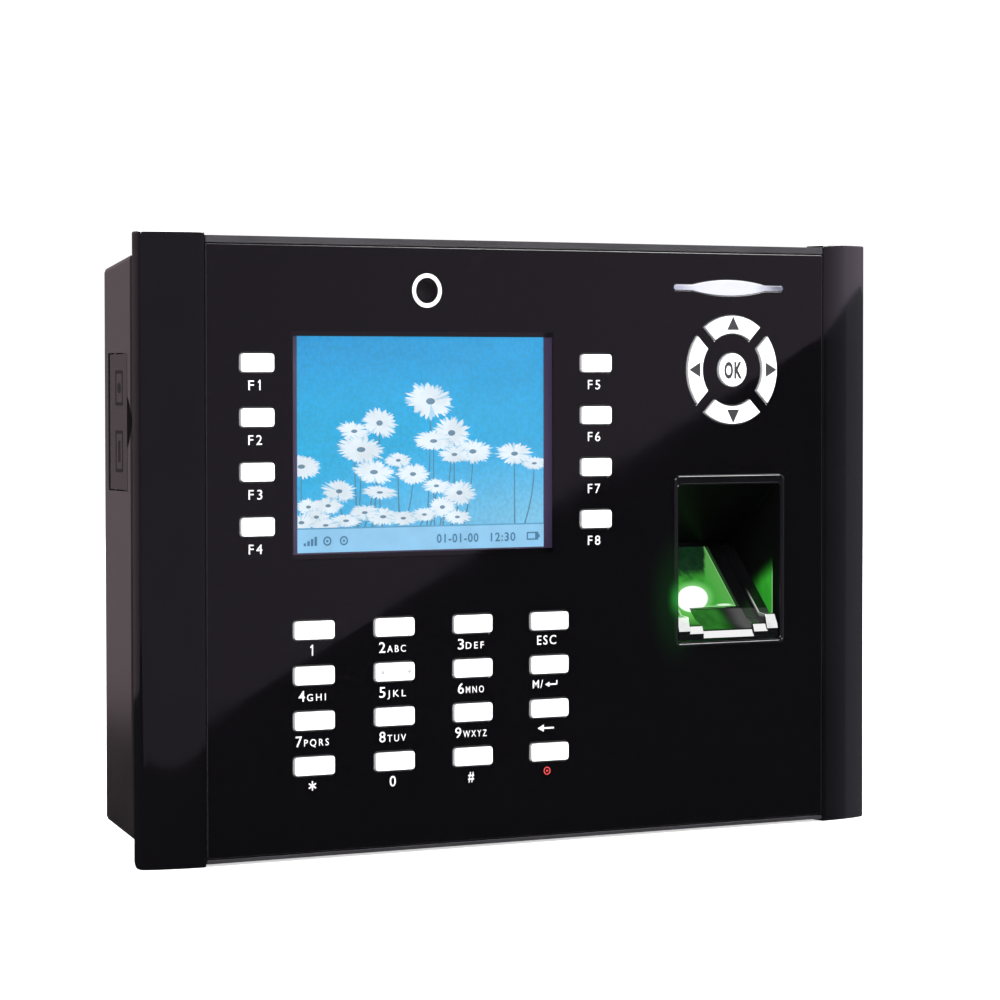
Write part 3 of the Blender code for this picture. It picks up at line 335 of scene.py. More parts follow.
class Shader:
    """A node material under construction. An input takes a value or another node's output."""

    def __init__(self, name):
        self.material = bpy.data.materials.new(name)
        self.material.use_nodes = True
        self.tree = self.material.node_tree
        self.principled = self.tree.nodes["Principled BSDF"]
        self.output = self.tree.nodes["Material Output"]
        self.coords = self.node("TexCoord").outputs["Object"]

    def node(self, kind, **inputs):
        """A new node with some of its inputs set; an underscore stands for a space."""
        node = self.tree.nodes.new("ShaderNode" + kind)
        self.set(node, **inputs)
        return node

    def set(self, node, **inputs):
        for key, value in inputs.items():
            self.feed(node.inputs[key.replace("_", " ")], value)

    def feed(self, socket, value):
        if isinstance(value, Value):
            value = value.socket
        if isinstance(value, bpy.types.NodeSocket):
            self.tree.links.new(value, socket)
        elif isinstance(value, tuple) and len(value) == 3 and socket.type == "RGBA":
            socket.default_value = (*value, 1.0)
        else:
            socket.default_value = value

    def surface(self, **inputs):
        """Set inputs of the principled surface and give back the material."""
        self.set(self.principled, **inputs)
        return self.material

    def math(self, operation, a, b=0.0):
        node = self.node("Math")
        node.operation = operation
        self.feed(node.inputs[0], a)
        self.feed(node.inputs[1], b)
        return Value(self, node.outputs[0])

    def ramp(self, value, low, high, start=0.0, end=1.0, smooth=True):
        """Map a value from low..high to start..end, held beyond the ends."""
        node = self.node("MapRange")
        node.interpolation_type = "SMOOTHSTEP" if smooth else "LINEAR"
        for socket, item in zip(node.inputs, (value, low, high, start, end)):
            self.feed(socket, item)
        return Value(self, node.outputs["Result"])

    def spread(self, texture, start=0.0, end=1.0):
        """Map the range where most of a noise lies to start..end."""
        return self.ramp(texture, 0.3, 0.7, start, end)

    def mix(self, factor, a, b):
        """A blend of two colours."""
        node = self.node("Mix")
        node.data_type = "RGBA"
        self.feed(node.inputs["Factor"], factor)
        self.feed(node.inputs[6], a)
        self.feed(node.inputs[7], b)
        return node.outputs[2]

    def tones(self, texture, colour, low, high):
        """A colour that a noise varies between two brightnesses."""
        return self.mix(self.spread(texture), shade(colour, low), shade(colour, high))

    def axes(self):
        """The x, depth and z of a point, in millimetres."""
        node = self.node("SeparateXYZ", Vector=self.coords)
        x, y, z = (Value(self, output) * (1.0 / MM) for output in node.outputs)
        return x, y - GLASS_Y, z

    def noise(self, size_mm, detail=3.0, stretch=(1.0, 1.0, 1.0), roughness=0.5):
        place = self.node("Mapping", Vector=self.coords, Scale=stretch)
        node = self.node("TexNoise", Vector=place.outputs[0], Scale=1.0 / (size_mm * MM),
                         Detail=detail, Roughness=roughness)
        return Value(self, node.outputs["Fac"])

    def bump(self, height, distance_mm):
        return self.node("Bump", Height=height, Distance=distance_mm * MM, Strength=1.0).outputs[0]

    def wear(self, radius_mm, amount):
        """Near the amount on convex edges, from the difference that a rounded normal makes."""
        bevel = self.node("Bevel", Radius=radius_mm * MM)
        bevel.samples = 4
        dot = self.node("VectorMath")
        dot.operation = "DOT_PRODUCT"
        self.feed(dot.inputs[0], bevel.outputs[0])
        self.feed(dot.inputs[1], self.node("NewGeometry").outputs["True Normal"])
        return self.ramp(dot.outputs["Value"], 1.0, 0.8, 0.0, amount)

    def mix_shader(self, factor, a, b):
        node = self.node("MixShader")
        for socket, value in zip(node.inputs, (factor, a, b)):
            self.feed(socket, value)
        return node.outputs[0]

    def finish(self, shader):
        """Put another shader on the surface and give back the material."""
        self.feed(self.output.inputs["Surface"], shader)
        return self.material


def shade(colour, factor):
    return tuple(channel * factor for channel in colour)


def moulded(name, colour, roughness, grain_mm=0.35, grain_depth=0.02, wear=0.25, sheen=1.0):
    """Moulded plastic: eroded-mould grain, faint blotches and slightly polished edges."""
    s = Shader(name)
    blotch = s.noise(18.0, 2.0)
    grain = s.noise(grain_mm, 2.0, roughness=0.6)
    edge = s.wear(0.5, wear)
    worn = s.mix(edge, s.tones(blotch, colour, 0.88, 1.12), shade(colour, 1.8))
    rough = s.spread(blotch, roughness * 0.92, roughness * 1.08) + edge * -0.1
    return s.surface(Base_Color=worn, Roughness=rough, IOR=1.0 + 0.5 * sheen,
                     Normal=s.bump(grain, grain_depth))


def metal(name, colour, roughness):
    """Plated steel with a rolled grain and faint stains."""
    s = Shader(name)
    grain = s.noise(0.9, 4.0, (1.0, 1.0, 12.0))
    stain = s.noise(22.0, 4.0)
    base = s.mix(s.ramp(stain, 0.35, 0.7), shade(colour, 0.85), shade(colour, 1.08))
    rough = s.spread(grain, roughness * 0.8, roughness * 1.15) + s.ramp(stain, 0.4, 0.7, 0.0, 0.08)
    return s.surface(Base_Color=base, Roughness=rough, Metallic=1.0, Normal=s.bump(grain, 0.012))


def circuit_board(name):
    """Green solder mask over copper traces on a fine grid."""
    s = Shader(name)
    place = s.node("Mapping", Vector=s.coords)
    brick = s.node("TexBrick", Vector=place.outputs[0], Scale=1.0 / (3.2 * MM), Mortar_Size=0.06, Bias=-0.3)
    cells = s.node("TexVoronoi", Vector=s.coords, Scale=1.0 / (2.6 * MM))
    dots = s.ramp(cells.outputs["Distance"], 0.16, 0.2)
    mask = Value(s, brick.outputs["Fac"]) * dots
    blotch = s.noise(6.0, 3.0)
    board = s.mix(s.spread(blotch), (0.010, 0.085, 0.028), (0.016, 0.125, 0.045))
    traced = s.mix(mask, board, (0.030, 0.19, 0.07))
    copper = s.mix(dots, (0.55, 0.42, 0.16), traced)
    return s.surface(Base_Color=copper, Roughness=s.spread(blotch, 0.28, 0.4), Normal=s.bump(mask, 0.03))


def rubber(name, colour):
    s = Shader(name)
    grain = s.noise(0.25, 2.0)
    blotch = s.noise(9.0, 3.0)
    return s.surface(Base_Color=s.tones(blotch, colour, 0.85, 1.1), Roughness=s.spread(grain, 0.65, 0.85),
                     Normal=s.bump(grain, 0.015))


def key_plastic(name, glow=0.0, tone=1.0):
    """White satin keycap plastic with faint blotches; glow is a painted white emission that brightens the
    caps, and tone darkens the base to give a copy for painted shade.
    """
    s = Shader(name)
    blotch = s.noise(4.0, 3.0)
    grain = s.noise(0.12, 2.0)
    base = s.mix(s.spread(blotch), shade((0.84, 0.84, 0.86), tone), shade((0.90, 0.90, 0.91), tone))
    return s.surface(Base_Color=base, Roughness=s.spread(blotch, 0.30, 0.42), Normal=s.bump(grain, 0.004),
                     Emission_Color=(1.0, 1.0, 1.0), Emission_Strength=glow)


def ink(name, colour, glow=0.0):
    """Screen-printed ink with slightly uneven cover; glow adds a painted emission that brightens the print.
    """
    s = Shader(name)
    cover = s.noise(0.3, 3.0)
    base = s.mix(s.ramp(cover, 0.2, 0.6), shade(colour, 0.85), colour)
    return s.surface(Base_Color=base, Roughness=s.spread(cover, 0.45, 0.6), Normal=s.bump(cover, 0.003),
                     Emission_Color=base, Emission_Strength=glow)


def distance(a, b, a0, b0, scale_a=1.0, scale_b=1.0):
    """Distance from (a0, b0) with each axis scaled."""
    da = (a - a0) * scale_a
    db = (b - b0) * scale_b
    return a.shader.math("SQRT", da * da + db * db)


WINDOW_HALF_W = 36.85
WINDOW_HALF_H = 26.34
WINDOW_X = LCD_X + 0.6
WINDOW_Z = SCREEN_Z - 0.3
PRINT_PARALLAX = 1.2
CAMERA_WINDOW_R = 2.6
BEZEL_X, BEZEL_Z = middle("sensor_bezel")
WALL_EDGE = 3.15
HOT_X = -4.7
HOT_Z = -16.4
HOT_HALF_W = 4.9
HOT_HALF_H = 3.1
HOT_WHITE = (1.3, 1.4, 1.3)
HALO_GREEN = (0.03, 0.42, 0.05)
BLACK = (0.0, 0.0, 0.0)
PIXEL_PITCH = 0.22
SCREEN_LEFT = LCD_X - SCREEN_WIDTH / 2
SCREEN_RIGHT = LCD_X + SCREEN_WIDTH / 2
SCREEN_LOW = SCREEN_Z - SCREEN_HEIGHT / 2
SCREEN_HIGH = SCREEN_Z + SCREEN_HEIGHT / 2


def platen_halo(s, x, z):
    """How strongly the platen's glare tints a point beside the recess."""
    reach = distance(x, z, BEZEL_X - 16.4, -15.6, 1.5, 0.75)
    near = s.ramp(reach, 5.5, 0.0) ** 2.0
    wide = s.ramp(reach, 15.0, 2.0) * 0.035
    return near * 0.5 + wide


def glass_print(name):
    """Clear acrylic printed black behind, with a clear display window and camera window.

    The print lies on the rear face. The mask is moved on the front face, so that a view from
    the left meets both windows in line, and it is wider above and below.
    """
    s = Shader(name)
    x, depth, z = s.axes()
    slack = (1.0 - s.ramp(depth, 0.9, 1.1)) * PRINT_PARALLAX
    inside_x = abs(x - WINDOW_X + slack) - slack * 0.25 < WINDOW_HALF_W
    inside_z = abs(z - WINDOW_Z) - slack < WINDOW_HALF_H
    lens = distance(x, z, CAMERA_X, CAMERA_Z) < CAMERA_WINDOW_R
    clear = s.math("MAXIMUM", inside_x * inside_z, lens)
    smear = s.noise(30.0, 4.0)
    dust = s.noise(1.3, 2.0)
    scratch = s.noise(0.5, 2.0, (0.4, 1.0, 7.0))
    rough = s.ramp(smear, 0.35, 0.75, 0.015, 0.06) + s.ramp(scratch, 0.62, 0.8, 0.0, 0.05)
    base = s.mix(s.ramp(dust, 0.4, 0.8), (0.0016, 0.0014, 0.0020), (0.0024, 0.0021, 0.0030))
    s.surface(Base_Color=base, Roughness=rough, IOR=1.49, Normal=s.bump(smear, 0.01),
              Emission_Color=HALO_GREEN, Emission_Strength=platen_halo(s, x, z))
    outside = 1.0 - Value(s, s.node("NewGeometry").outputs["Backfacing"])
    shine = Value(s, s.node("Fresnel", IOR=1.45).outputs[0]) * 0.9 * outside
    pane = s.mix_shader(shine, s.node("BsdfTransparent").outputs[0],
                        s.node("BsdfGlossy", Roughness=0.03).outputs[0])
    return s.finish(s.mix_shader(clear, s.principled.outputs[0], pane))


def acrylic_edge(name):
    """The cut edge of the acrylic, where light leaks out as a soft grey."""
    s = Shader(name)
    marks = s.noise(0.4, 3.0, (1.0, 8.0, 1.0))
    base = s.mix(s.spread(marks), (0.006, 0.006, 0.007), (0.018, 0.017, 0.020))
    return s.surface(Base_Color=base, Roughness=s.spread(marks, 0.12, 0.3), IOR=1.6,
                     Normal=s.bump(marks, 0.01))


MATERIALS = {
    "glass": glass_print("printed_acrylic"),
    "edge": acrylic_edge("acrylic_cut_edge"),
    "rail": moulded("rail_plastic", (0.002, 0.0018, 0.0024), 0.035, 0.5, 0.0005, 0.02),
    "frame": moulded("frame_plastic", (0.020, 0.019, 0.022), 0.34, 0.4, 0.008, 0.4),
    "housing": moulded("housing_plastic", (0.010, 0.008, 0.009), 0.15, 0.55, 0.004, 0.3),
    "door": moulded("door_plastic", (0.006, 0.005, 0.0055), 0.22, 0.55, 0.004, 0.3, 0.7),
    "component": moulded("component_black", (0.018, 0.018, 0.020), 0.42, 0.3, 0.015, 0.3),
    "camera": moulded("camera_black", (0.003, 0.003, 0.004), 0.5, 0.3, 0.004, 0.1, 0.6),
    "lcd_frame": moulded("display_frame", (0.030, 0.020, 0.048), 0.38, 0.3, 0.006, 0.3),
    "green": moulded("terminal_green", (0.035, 0.24, 0.09), 0.42, 0.3, 0.012, 0.25),
    "battery": moulded("battery_wrap", (0.04, 0.13, 0.36), 0.30, 1.5, 0.02, 0.3),
    # The cap fronts get a painted glow of 0.25; the side walls get a copy darkened to 0.42, which is painted
    # shade.
    "white": key_plastic("key_white", 0.25),
    "white_painted_shade": key_plastic("key_white_painted_shade", 0.0, 0.42),
    "plunger": key_plastic("plunger_white"),
    "steel": metal("plate_steel", (0.46, 0.46, 0.47), 0.32),
    "zinc": metal("screw_zinc", (0.55, 0.55, 0.52), 0.28),
    "board": circuit_board("board_green"),
    "rubber": rubber("membrane_grey", (0.42, 0.42, 0.41)),
    # The white and red legends get a painted glow that brightens them.
    "print": ink("legend_white", (0.74, 0.73, 0.75), 0.11),
    "print_red": ink("legend_red", (0.55, 0.03, 0.03), 0.25),
    "door_mark": ink("door_mark", (0.0015, 0.0013, 0.0015)),
    "print_dark": ink("legend_dark", (0.012, 0.012, 0.014)),
}


# ---------------------------------------------------------------- front panel, rails and frame

def make_front_panel():
    low, high = PANEL_LOW, PANEL_HIGH
    cx, cz = (low.x + high.x) / 2, (low.z + high.z) / 2
    half_w, half_h = (high.x - low.x) / 2, (high.z - low.z) / 2
    outer = lambda grow: rounded_rect(cx, cz, half_w + grow, half_h + grow, 0.3 + grow)
    holes = []
    for name in KEY_NAMES:
        outline = key_outline(name)
        holes.append(lambda grow, outline=outline: outline(grow + KEY_CLEARANCE))
    for direction in NAV_ANGLES.values():
        outline = nav_outline(direction)
        holes.append(lambda grow, outline=outline: outline(grow + KEY_CLEARANCE))
    holes.append(lambda grow: circle(NAV_X, NAV_Z, NAV_OK_R + KEY_CLEARANCE + grow))
    holes.append(lambda grow: lamp_outline(grow + LAMP_CLEARANCE))
    rim_w, rim_h = half_size("sensor_bezel", RIM_LAP)
    holes.append(lambda grow: rounded_rect(BEZEL_X, BEZEL_Z, rim_w + grow, rim_h + grow,
                                           SENSOR_HOLE_CORNER + grow))
    mesh = plate_with_holes("glass_panel", outer, holes, 0.0, GLASS_THICKNESS, GLASS_CHAMFER)
    make_piece("glass_panel", mesh, [MATERIALS["glass"], MATERIALS["edge"]],
               replaces=["front_panel"])


def rail_section(side, inset=0.0, lift=0.0):
    """A rail's section as (x, depth) points: a shallow arc, then a straight side."""
    low, high = box_mm("right_rail")
    inner, outer = low.x + inset, high.x - inset
    back = high.y - GLASS_Y - inset - lift
    drop = 3.2
    width = high.x - low.x
    radius = (width ** 2 + drop ** 2) / (2 * drop)
    corner = 0.9
    reach = math.degrees(math.asin((width - corner) / radius))
    front = arc(low.x, radius, radius - inset, -90.0, -90.0 + reach, 26)
    front[0] = (inner, front[0][1] + 0.08)
    front[1] = (inner + 0.08, front[1][1])
    turn = arc(outer - corner + inset, front[-1][1] + corner - inset * 0.4, corner - inset, -68.0, 0.0, 8)
    points = front + turn + [(outer, back - 0.4), (outer - 0.4, back), (inner, back)]
    return [(side * x, depth) for x, depth in points]


def make_rails():
    for node, side in (("left_rail", -1), ("right_rail", 1)):
        low, high = box_mm(node)
        bm = bmesh.new()
        rings = []
        for inset, rise in ((0.35, 0.0), (0.08, 0.15), (0.0, 0.4), (0.0, 0.8), (0.0, 1.3), (0.0, 2.0)):
            lift = REAR_CURVE * (1.0 - math.sqrt(1.0 - (1.0 - rise / 2.0) ** 2))
            section = rail_section(side, inset, lift)
            rings.append([bm.verts.new(world(x, depth, low.z + rise)) for x, depth in section])
        for inset, fall in ((0.0, 1.0), (0.0, 0.35), (0.1, 0.1), (0.35, 0.0)):
            section = rail_section(side, inset)
            rings.append([bm.verts.new(world(x, depth, high.z - fall)) for x, depth in section])
        close_rings(bm, rings)
        make_piece(node + "_shell", bm, [MATERIALS["rail"]],
                   replaces=[node], smooth_angle=30.0)


# ---------------------------------------------------------------- keys and indicator

def cap_sections(outline, front, rim):
    """Sections of a key: its flange, its straight walls and its rounded front rim."""
    sections = [(outline(FLANGE - 0.1), FLANGE_BACK), (outline(FLANGE), FLANGE_BACK - 0.1),
                (outline(FLANGE), FLANGE_FRONT), (outline(0.0), FLANGE_FRONT)]
    steps = 5
    for i in range(steps + 1):
        angle = math.radians(90.0 * i / steps)
        grow = -rim * (1.0 - math.cos(angle))
        sections.append((outline(grow), front + rim * (1.0 - math.sin(angle))))
    return sections


def make_keys():
    outlines = {name: key_outline(name) for name in KEY_NAMES}
    outlines.update({name: nav_outline(angle) for name, angle in NAV_ANGLES.items()})
    outlines["nav_ok"] = lambda grow: circle(NAV_X, NAV_Z, NAV_OK_R + grow)
    for name, outline in outlines.items():
        mesh = loft(name + "_cap", cap_sections(outline, KEY_FRONT, 0.3))
        # Front faces take the glowing white; the side walls take the darkened copy, which is painted shade.
        for polygon in mesh.polygons:
            front = polygon.normal.y < -0.6 and polygon.center.y / MM < GLASS_Y + 1.0
            polygon.material_index = 0 if front else 1
        make_piece(name + "_cap", mesh, [MATERIALS["white"], MATERIALS["white_painted_shade"]], name,
                   [name])


def lamp_material():
    """The light guide: bright in its middle, cooler and dimmer at its ends."""
    s = Shader("indicator_glow")
    along = s.axes()[0] - LAMP_X
    swirl = s.noise(3.0, 3.0, (0.6, 1.0, 1.6))
    tint = s.mix(s.ramp(along, -9.0, -16.5), (0.80, 0.82, 0.89), (0.38, 0.38, 0.50))
    tint = s.mix(s.ramp(along, 7.0, 16.0), tint, (0.06, 0.065, 0.12))
    tint = s.mix(s.ramp(swirl, 0.45, 0.7, 0.0, 0.3), tint, (0.62, 0.61, 0.78))
    return s.surface(Base_Color=(0.06, 0.06, 0.07), Roughness=s.spread(swirl, 0.12, 0.3),
                     Normal=s.bump(swirl, 0.01), Emission_Color=tint, Emission_Strength=1.0)


def make_lamp():
    mesh = loft("indicator_light", cap_sections(lamp_outline, -0.3, 0.22))
    for polygon in mesh.polygons:
        polygon.material_index = 0 if polygon.center.y / MM < GLASS_Y - 0.07 else 1
    make_piece("indicator_light", mesh, [lamp_material(), MATERIALS["component"]],
               replaces=["indicator_lens"])


# ---------------------------------------------------------------- legends

PRINT_FRONT = -0.02


def text_mesh(bm, words, cx, cz, height, width, front=PRINT_FRONT, weight=0.0, material=0, spacing=1.15):
    """Add words to a mesh as thin printed letters of a given capital height and total width."""
    curve = bpy.data.curves.new("words", "FONT")
    curve.body = words
    curve.align_x = "CENTER"
    curve.align_y = "BOTTOM_BASELINE"
    curve.offset = weight
    curve.space_character = spacing
    curve.extrude = 0.01
    curve.resolution_u = 3
    holder = bpy.data.objects.new("words", curve)
    bpy.context.scene.collection.objects.link(holder)
    bpy.context.view_layer.update()
    evaluated = holder.evaluated_get(bpy.context.evaluated_depsgraph_get())
    mesh = bpy.data.meshes.new_from_object(evaluated)
    edges = [vert.co.x for vert in mesh.vertices]
    natural = max(edges) - min(edges)
    capital = 0.73
    tall = height / capital * MM
    wide = width / natural * MM
    middle_x = (max(edges) + min(edges)) / 2
    place = Matrix.Translation(world(cx, front + 0.01, cz - height / 2))
    turn = Matrix(((wide, 0, 0, -middle_x * wide), (0, 0, -MM, 0), (0, tall, 0, 0), (0, 0, 0, 1)))
    mesh.transform(place @ turn)
    for polygon in mesh.polygons:
        polygon.material_index = material
    bm.from_mesh(mesh)
    bpy.data.objects.remove(holder, do_unlink=True)
    bpy.data.meshes.remove(mesh)


def print_slab(bm, points):
    """A printed shape on the glass."""
    slab(bm, points, PRINT_FRONT, 0.0)


def arrow(cx, cz, size, direction, wide=1.0):
    """A triangle that points along a direction in degrees."""
    turn = math.radians(direction)
    points = []
    for along, across in ((size * 0.6, 0.0), (-size * 0.4, size * 0.5 * wide),
                          (-size * 0.4, -size * 0.5 * wide)):
        points.append((cx + along * math.cos(turn) - across * math.sin(turn),
                       cz + along * math.sin(turn) + across * math.cos(turn)))
    return points


def bar(x0, z0, x1, z1, width):
    """A straight stroke as a thin rectangle."""
    along = Vector((x1 - x0, z1 - z0)).normalized() * width / 2
    across = Vector((-along.y, along.x))
    ends = ((x0 - along.x, z0 - along.y), (x1 + along.x, z1 + along.y))
    (ax, az), (bx, bz) = ends
    return [(ax + across.x, az + across.y), (ax - across.x, az - across.y),
            (bx - across.x, bz - across.y), (bx + across.x, bz + across.y)]


def print_one(bm, x, z, height):
    """The digit 1 as an upright with a short flag."""
    half = height / 2 - 0.15
    print_slab(bm, bar(x, z - half, x, z + half, 0.32))
    flag = bar(x - 0.42, z + half - 0.42, x - 0.1, z + half - 0.06, 0.28)
    slab(bm, flag, PRINT_FRONT + 0.001, 0.001)


LABEL_WIDTH = {0: 1.7, 3: 7.5, 4: 9.1}
LABEL_SHIFT = 0.4
DIGIT_WIDTH = 1.75
PAD_DROP = 4.85
F_DROP = 5.3
F_HEIGHT = 2.45
PAD_WORDS = {
    "key_1": ("1", ""), "key_2": ("2", "ABC"), "key_3": ("3", "DEF"),
    "key_4": ("4", "GHI"), "key_5": ("5", "JKL"), "key_6": ("6", "MNO"),
    "key_7": ("7", "PQRS"), "key_8": ("8", "TUV"), "key_9": ("9", "WXYZ"),
    "key_0": ("0", ""), "key_star": ("*", ""), "key_hash": ("#", ""),
}


def print_word(bm, words, x, z, height, width, weight=0.003, spacing=1.15):
    """A printed word, moved to the left as all the labels are."""
    text_mesh(bm, words, x - LABEL_SHIFT, z, height, width, weight=weight, spacing=spacing)


def print_star(bm, x, z):
    """Three crossed strokes, each a hair in front of the last."""
    for angle in (30.0, 90.0, 150.0):
        reach_x = 0.95 * math.cos(math.radians(angle))
        reach_z = 0.95 * math.sin(math.radians(angle))
        slab(bm, bar(x - reach_x, z - reach_z, x + reach_x, z + reach_z, 0.34),
             PRINT_FRONT - angle * 0.00002, 0.0)


def print_pad_label(bm, digit, letters, x, z):
    """A digit with its smaller letters on the right, centred under its key."""
    if digit == "*":
        print_star(bm, x - LABEL_SHIFT, z)
        return
    if digit == "1":
        print_one(bm, x - 0.3, z, 2.6)
        return
    total = LABEL_WIDTH[len(letters)]
    print_word(bm, digit, x - (total - DIGIT_WIDTH) / 2, z, 2.7, DIGIT_WIDTH, 0.004)
    if letters:
        width = total - DIGIT_WIDTH - 0.55
        print_word(bm, letters, x + (total - width) / 2, z - 0.42, 1.75, width, 0.002, 1.4)


def make_legends():
    bm = bmesh.new()
    for number in range(1, 9):
        x, z = middle(f"key_f{number}")
        if number == 1:
            text_mesh(bm, "F", x - 1.45, z - F_DROP, F_HEIGHT, 1.5)
            print_one(bm, x + 0.9, z - F_DROP, F_HEIGHT)
        else:
            print_word(bm, f"F{number}", x, z - F_DROP, F_HEIGHT, 3.7, 0.0, 1.3)
    for name, (digit, letters) in PAD_WORDS.items():
        x, z = middle(name)
        print_pad_label(bm, digit, letters, x, z - PAD_DROP)
    x, z = middle("key_esc")
    print_word(bm, "ESC", x - 0.2, z - 4.7, 2.4, 5.6, spacing=1.25)
    x, z = middle("key_menu")
    print_word(bm, "M/", x - 2.8, z - 4.75, 2.1, 3.0)
    hook = z - 5.0
    print_slab(bm, arrow(x - 0.3, hook, 1.3, 180.0))
    print_slab(bm, bar(x - 0.2, hook, x + 2.4, hook, 0.34))
    print_slab(bm, bar(x + 2.4, hook + 0.17, x + 2.4, hook + 0.8, 0.34))
    x, z = middle("key_back")
    print_slab(bm, arrow(x - 2.2, z - 5.0, 1.8, 180.0))
    print_slab(bm, bar(x - 1.6, z - 5.0, x + 1.3, z - 5.0, 0.42))
    make_piece("legends_white", bm, [MATERIALS["print"]])


def ring_slab(bm, cx, cz, inner, outer, front, back, material=0, steps=48):
    """A flat ring as a closed solid."""
    rings = [add_ring(bm, circle(cx, cz, radius, steps), depth)
             for radius, depth in ((inner, back), (inner, front), (outer, front), (outer, back))]
    for i in range(4):
        bridge(bm, rings[i], rings[(i + 1) % 4], material)


def make_power_mark():
    """A red ring with a dot, under the last key of the pad."""
    bm = bmesh.new()
    x, z = middle("key_power")
    ring_slab(bm, x - 0.5, z - 4.8, 0.75, 1.0, PRINT_FRONT, 0.0, steps=24)
    print_slab(bm, circle(x - 0.5, z - 4.8, 0.28, 12))
    make_piece("legend_power", bm, [MATERIALS["print_red"]])


def make_nav_marks():
    """The arrows and the OK, each on its own key."""
    reach = (NAV_OUTER_R + NAV_INNER_R) / 2
    for name, angle in NAV_ANGLES.items():
        bm = bmesh.new()
        turn = math.radians(angle)
        x = NAV_X + reach * math.cos(turn)
        z = NAV_Z + reach * math.sin(turn)
        slab(bm, arrow(x, z, 3.5, angle, 1.1), KEY_FRONT - 0.015, KEY_FRONT + 0.01)
        make_piece(name + "_arrow", bm, [MATERIALS["print_dark"]], name)
    bm = bmesh.new()
    text_mesh(bm, "OK", NAV_X, NAV_Z, 4.1, 5.6, KEY_FRONT - 0.015, weight=0.045)
    make_piece("nav_ok_word", bm, [MATERIALS["print_dark"]], "nav_ok")


def make_key_bumps():
    """Two small bumps on the middle key, for the finger to find."""
    x, z = middle("key_5")
    bm = bmesh.new()
    for offset in (-3.6, 3.9):
        rings = [add_ring(bm, circle(x + offset, z, radius, 16), KEY_FRONT - rise)
                 for radius, rise in ((0.50, -0.01), (0.44, 0.12), (0.28, 0.20), (0.08, 0.23))]
        close_rings(bm, rings)
    # The bumps take the darkened white copy, which is painted shade.
    make_piece("key_5_bumps", bm, [MATERIALS["white_painted_shade"]], "key_5")


def door_point(depth, z, proud):
    """A point just outside the drafted left side, in metres."""
    side = DOOR_FRONT_X - (depth - DOOR_FRONT_DEPTH) * SIDE_DRAFT
    return Vector((-(side + proud), GLASS_Y + depth, z)) * MM


def door_slab(bm, points):
    """A thin printed shape on the door, from (depth, z) points."""
    close_rings(bm, [[bm.verts.new(door_point(depth, z, proud)) for depth, z in points]
                     for proud in (0.02, -0.05)])


def make_door_marks():
    """Two plain marks, one over the other, on the service door."""
    bm = bmesh.new()
    for z, half_h in ((38.5, 4.2), (23.4, 5.0)):
        for depth in (14.6, 19.2):
            door_slab(bm, rounded_rect(depth, z, 0.35, half_h, 0.2, 3))
        for end in (-1, 1):
            door_slab(bm, rounded_rect(16.9, z + end * (half_h - 0.4), 2.0, 0.4, 0.2, 3))
    door_slab(bm, circle(16.9, 38.5, 1.3, 24))
    door_slab(bm, rounded_rect(16.9, 23.4, 0.8, 2.6, 0.3, 3))
    make_piece("door_marks", bm, [MATERIALS["door_mark"]], "usb_door")


def make_camera_ring():
    """The white ring printed around the camera's window."""
    bm = bmesh.new()
    ring_slab(bm, CAMERA_X, CAMERA_Z, 3.15, 4.2, PRINT_FRONT, 0.0, steps=72)
    make_piece("camera_ring", bm, [MATERIALS["print"]])


# ---------------------------------------------------------------- display picture

def glow(name, colour, vary=0.08):
    """Light from the display's pixels, with a fine grid and slow changes of tone."""
    s = Shader(name)
    x, _, z = s.axes()
    lines = [abs(s.math("SINE", axis * (math.pi / PIXEL_PITCH))) for axis in (x, z)]
    grid = s.ramp(s.math("MINIMUM", *lines), 0.0, 0.35, 0.86, 1.0)
    strength = grid * s.spread(s.noise(6.0, 4.0), 1.0 - vary, 1.0 + vary)
    return s.surface(Base_Color=BLACK, Roughness=0.4, Emission_Color=colour, Emission_Strength=strength)


def sky_material():
    """The picture's sky: paler towards its lower right corner, with a faint mottle."""
    s = Shader("screen_sky")
    x, _, z = s.axes()
    height = s.ramp(z, SCREEN_LOW, SCREEN_HIGH, smooth=False)
    across = s.ramp(x, SCREEN_LEFT, SCREEN_RIGHT, smooth=False)
    low_tone = s.mix(across, (0.035, 0.44, 0.80), (0.245, 0.60, 0.83))
    mid_tone = s.mix(across, (0.008, 0.42, 0.76), (0.022, 0.42, 0.79))
    top_tone = s.mix(across, (0.004, 0.32, 0.70), (0.004, 0.35, 0.73))
    colour = s.mix(s.ramp(height, 0.0, 0.55), low_tone, mid_tone)
    colour = s.mix(s.ramp(height, 0.5, 1.0), colour, top_tone)
    cloud = s.noise(14.0, 5.0, (0.7, 1.0, 1.3))
    strength = s.spread(cloud, 0.96, 1.04) + s.spread(s.noise(0.9, 3.0), -0.08, 0.08)
    return s.surface(Base_Color=BLACK, Roughness=0.4, Emission_Color=colour, Emission_Strength=strength)


SKY_DEPTHS = (2.24, 2.28)
STEM_DEPTH = 2.215
FLOWER_DEPTH = 2.21
BAR_DEPTHS = (2.16, 2.2)
INK_DEPTHS = (2.13, 2.15)
BAR_TOP = SCREEN_LOW + 6.0
BAR_LINE = 0.35
FLOWER_SCALE = 1.12
PETALS = 30
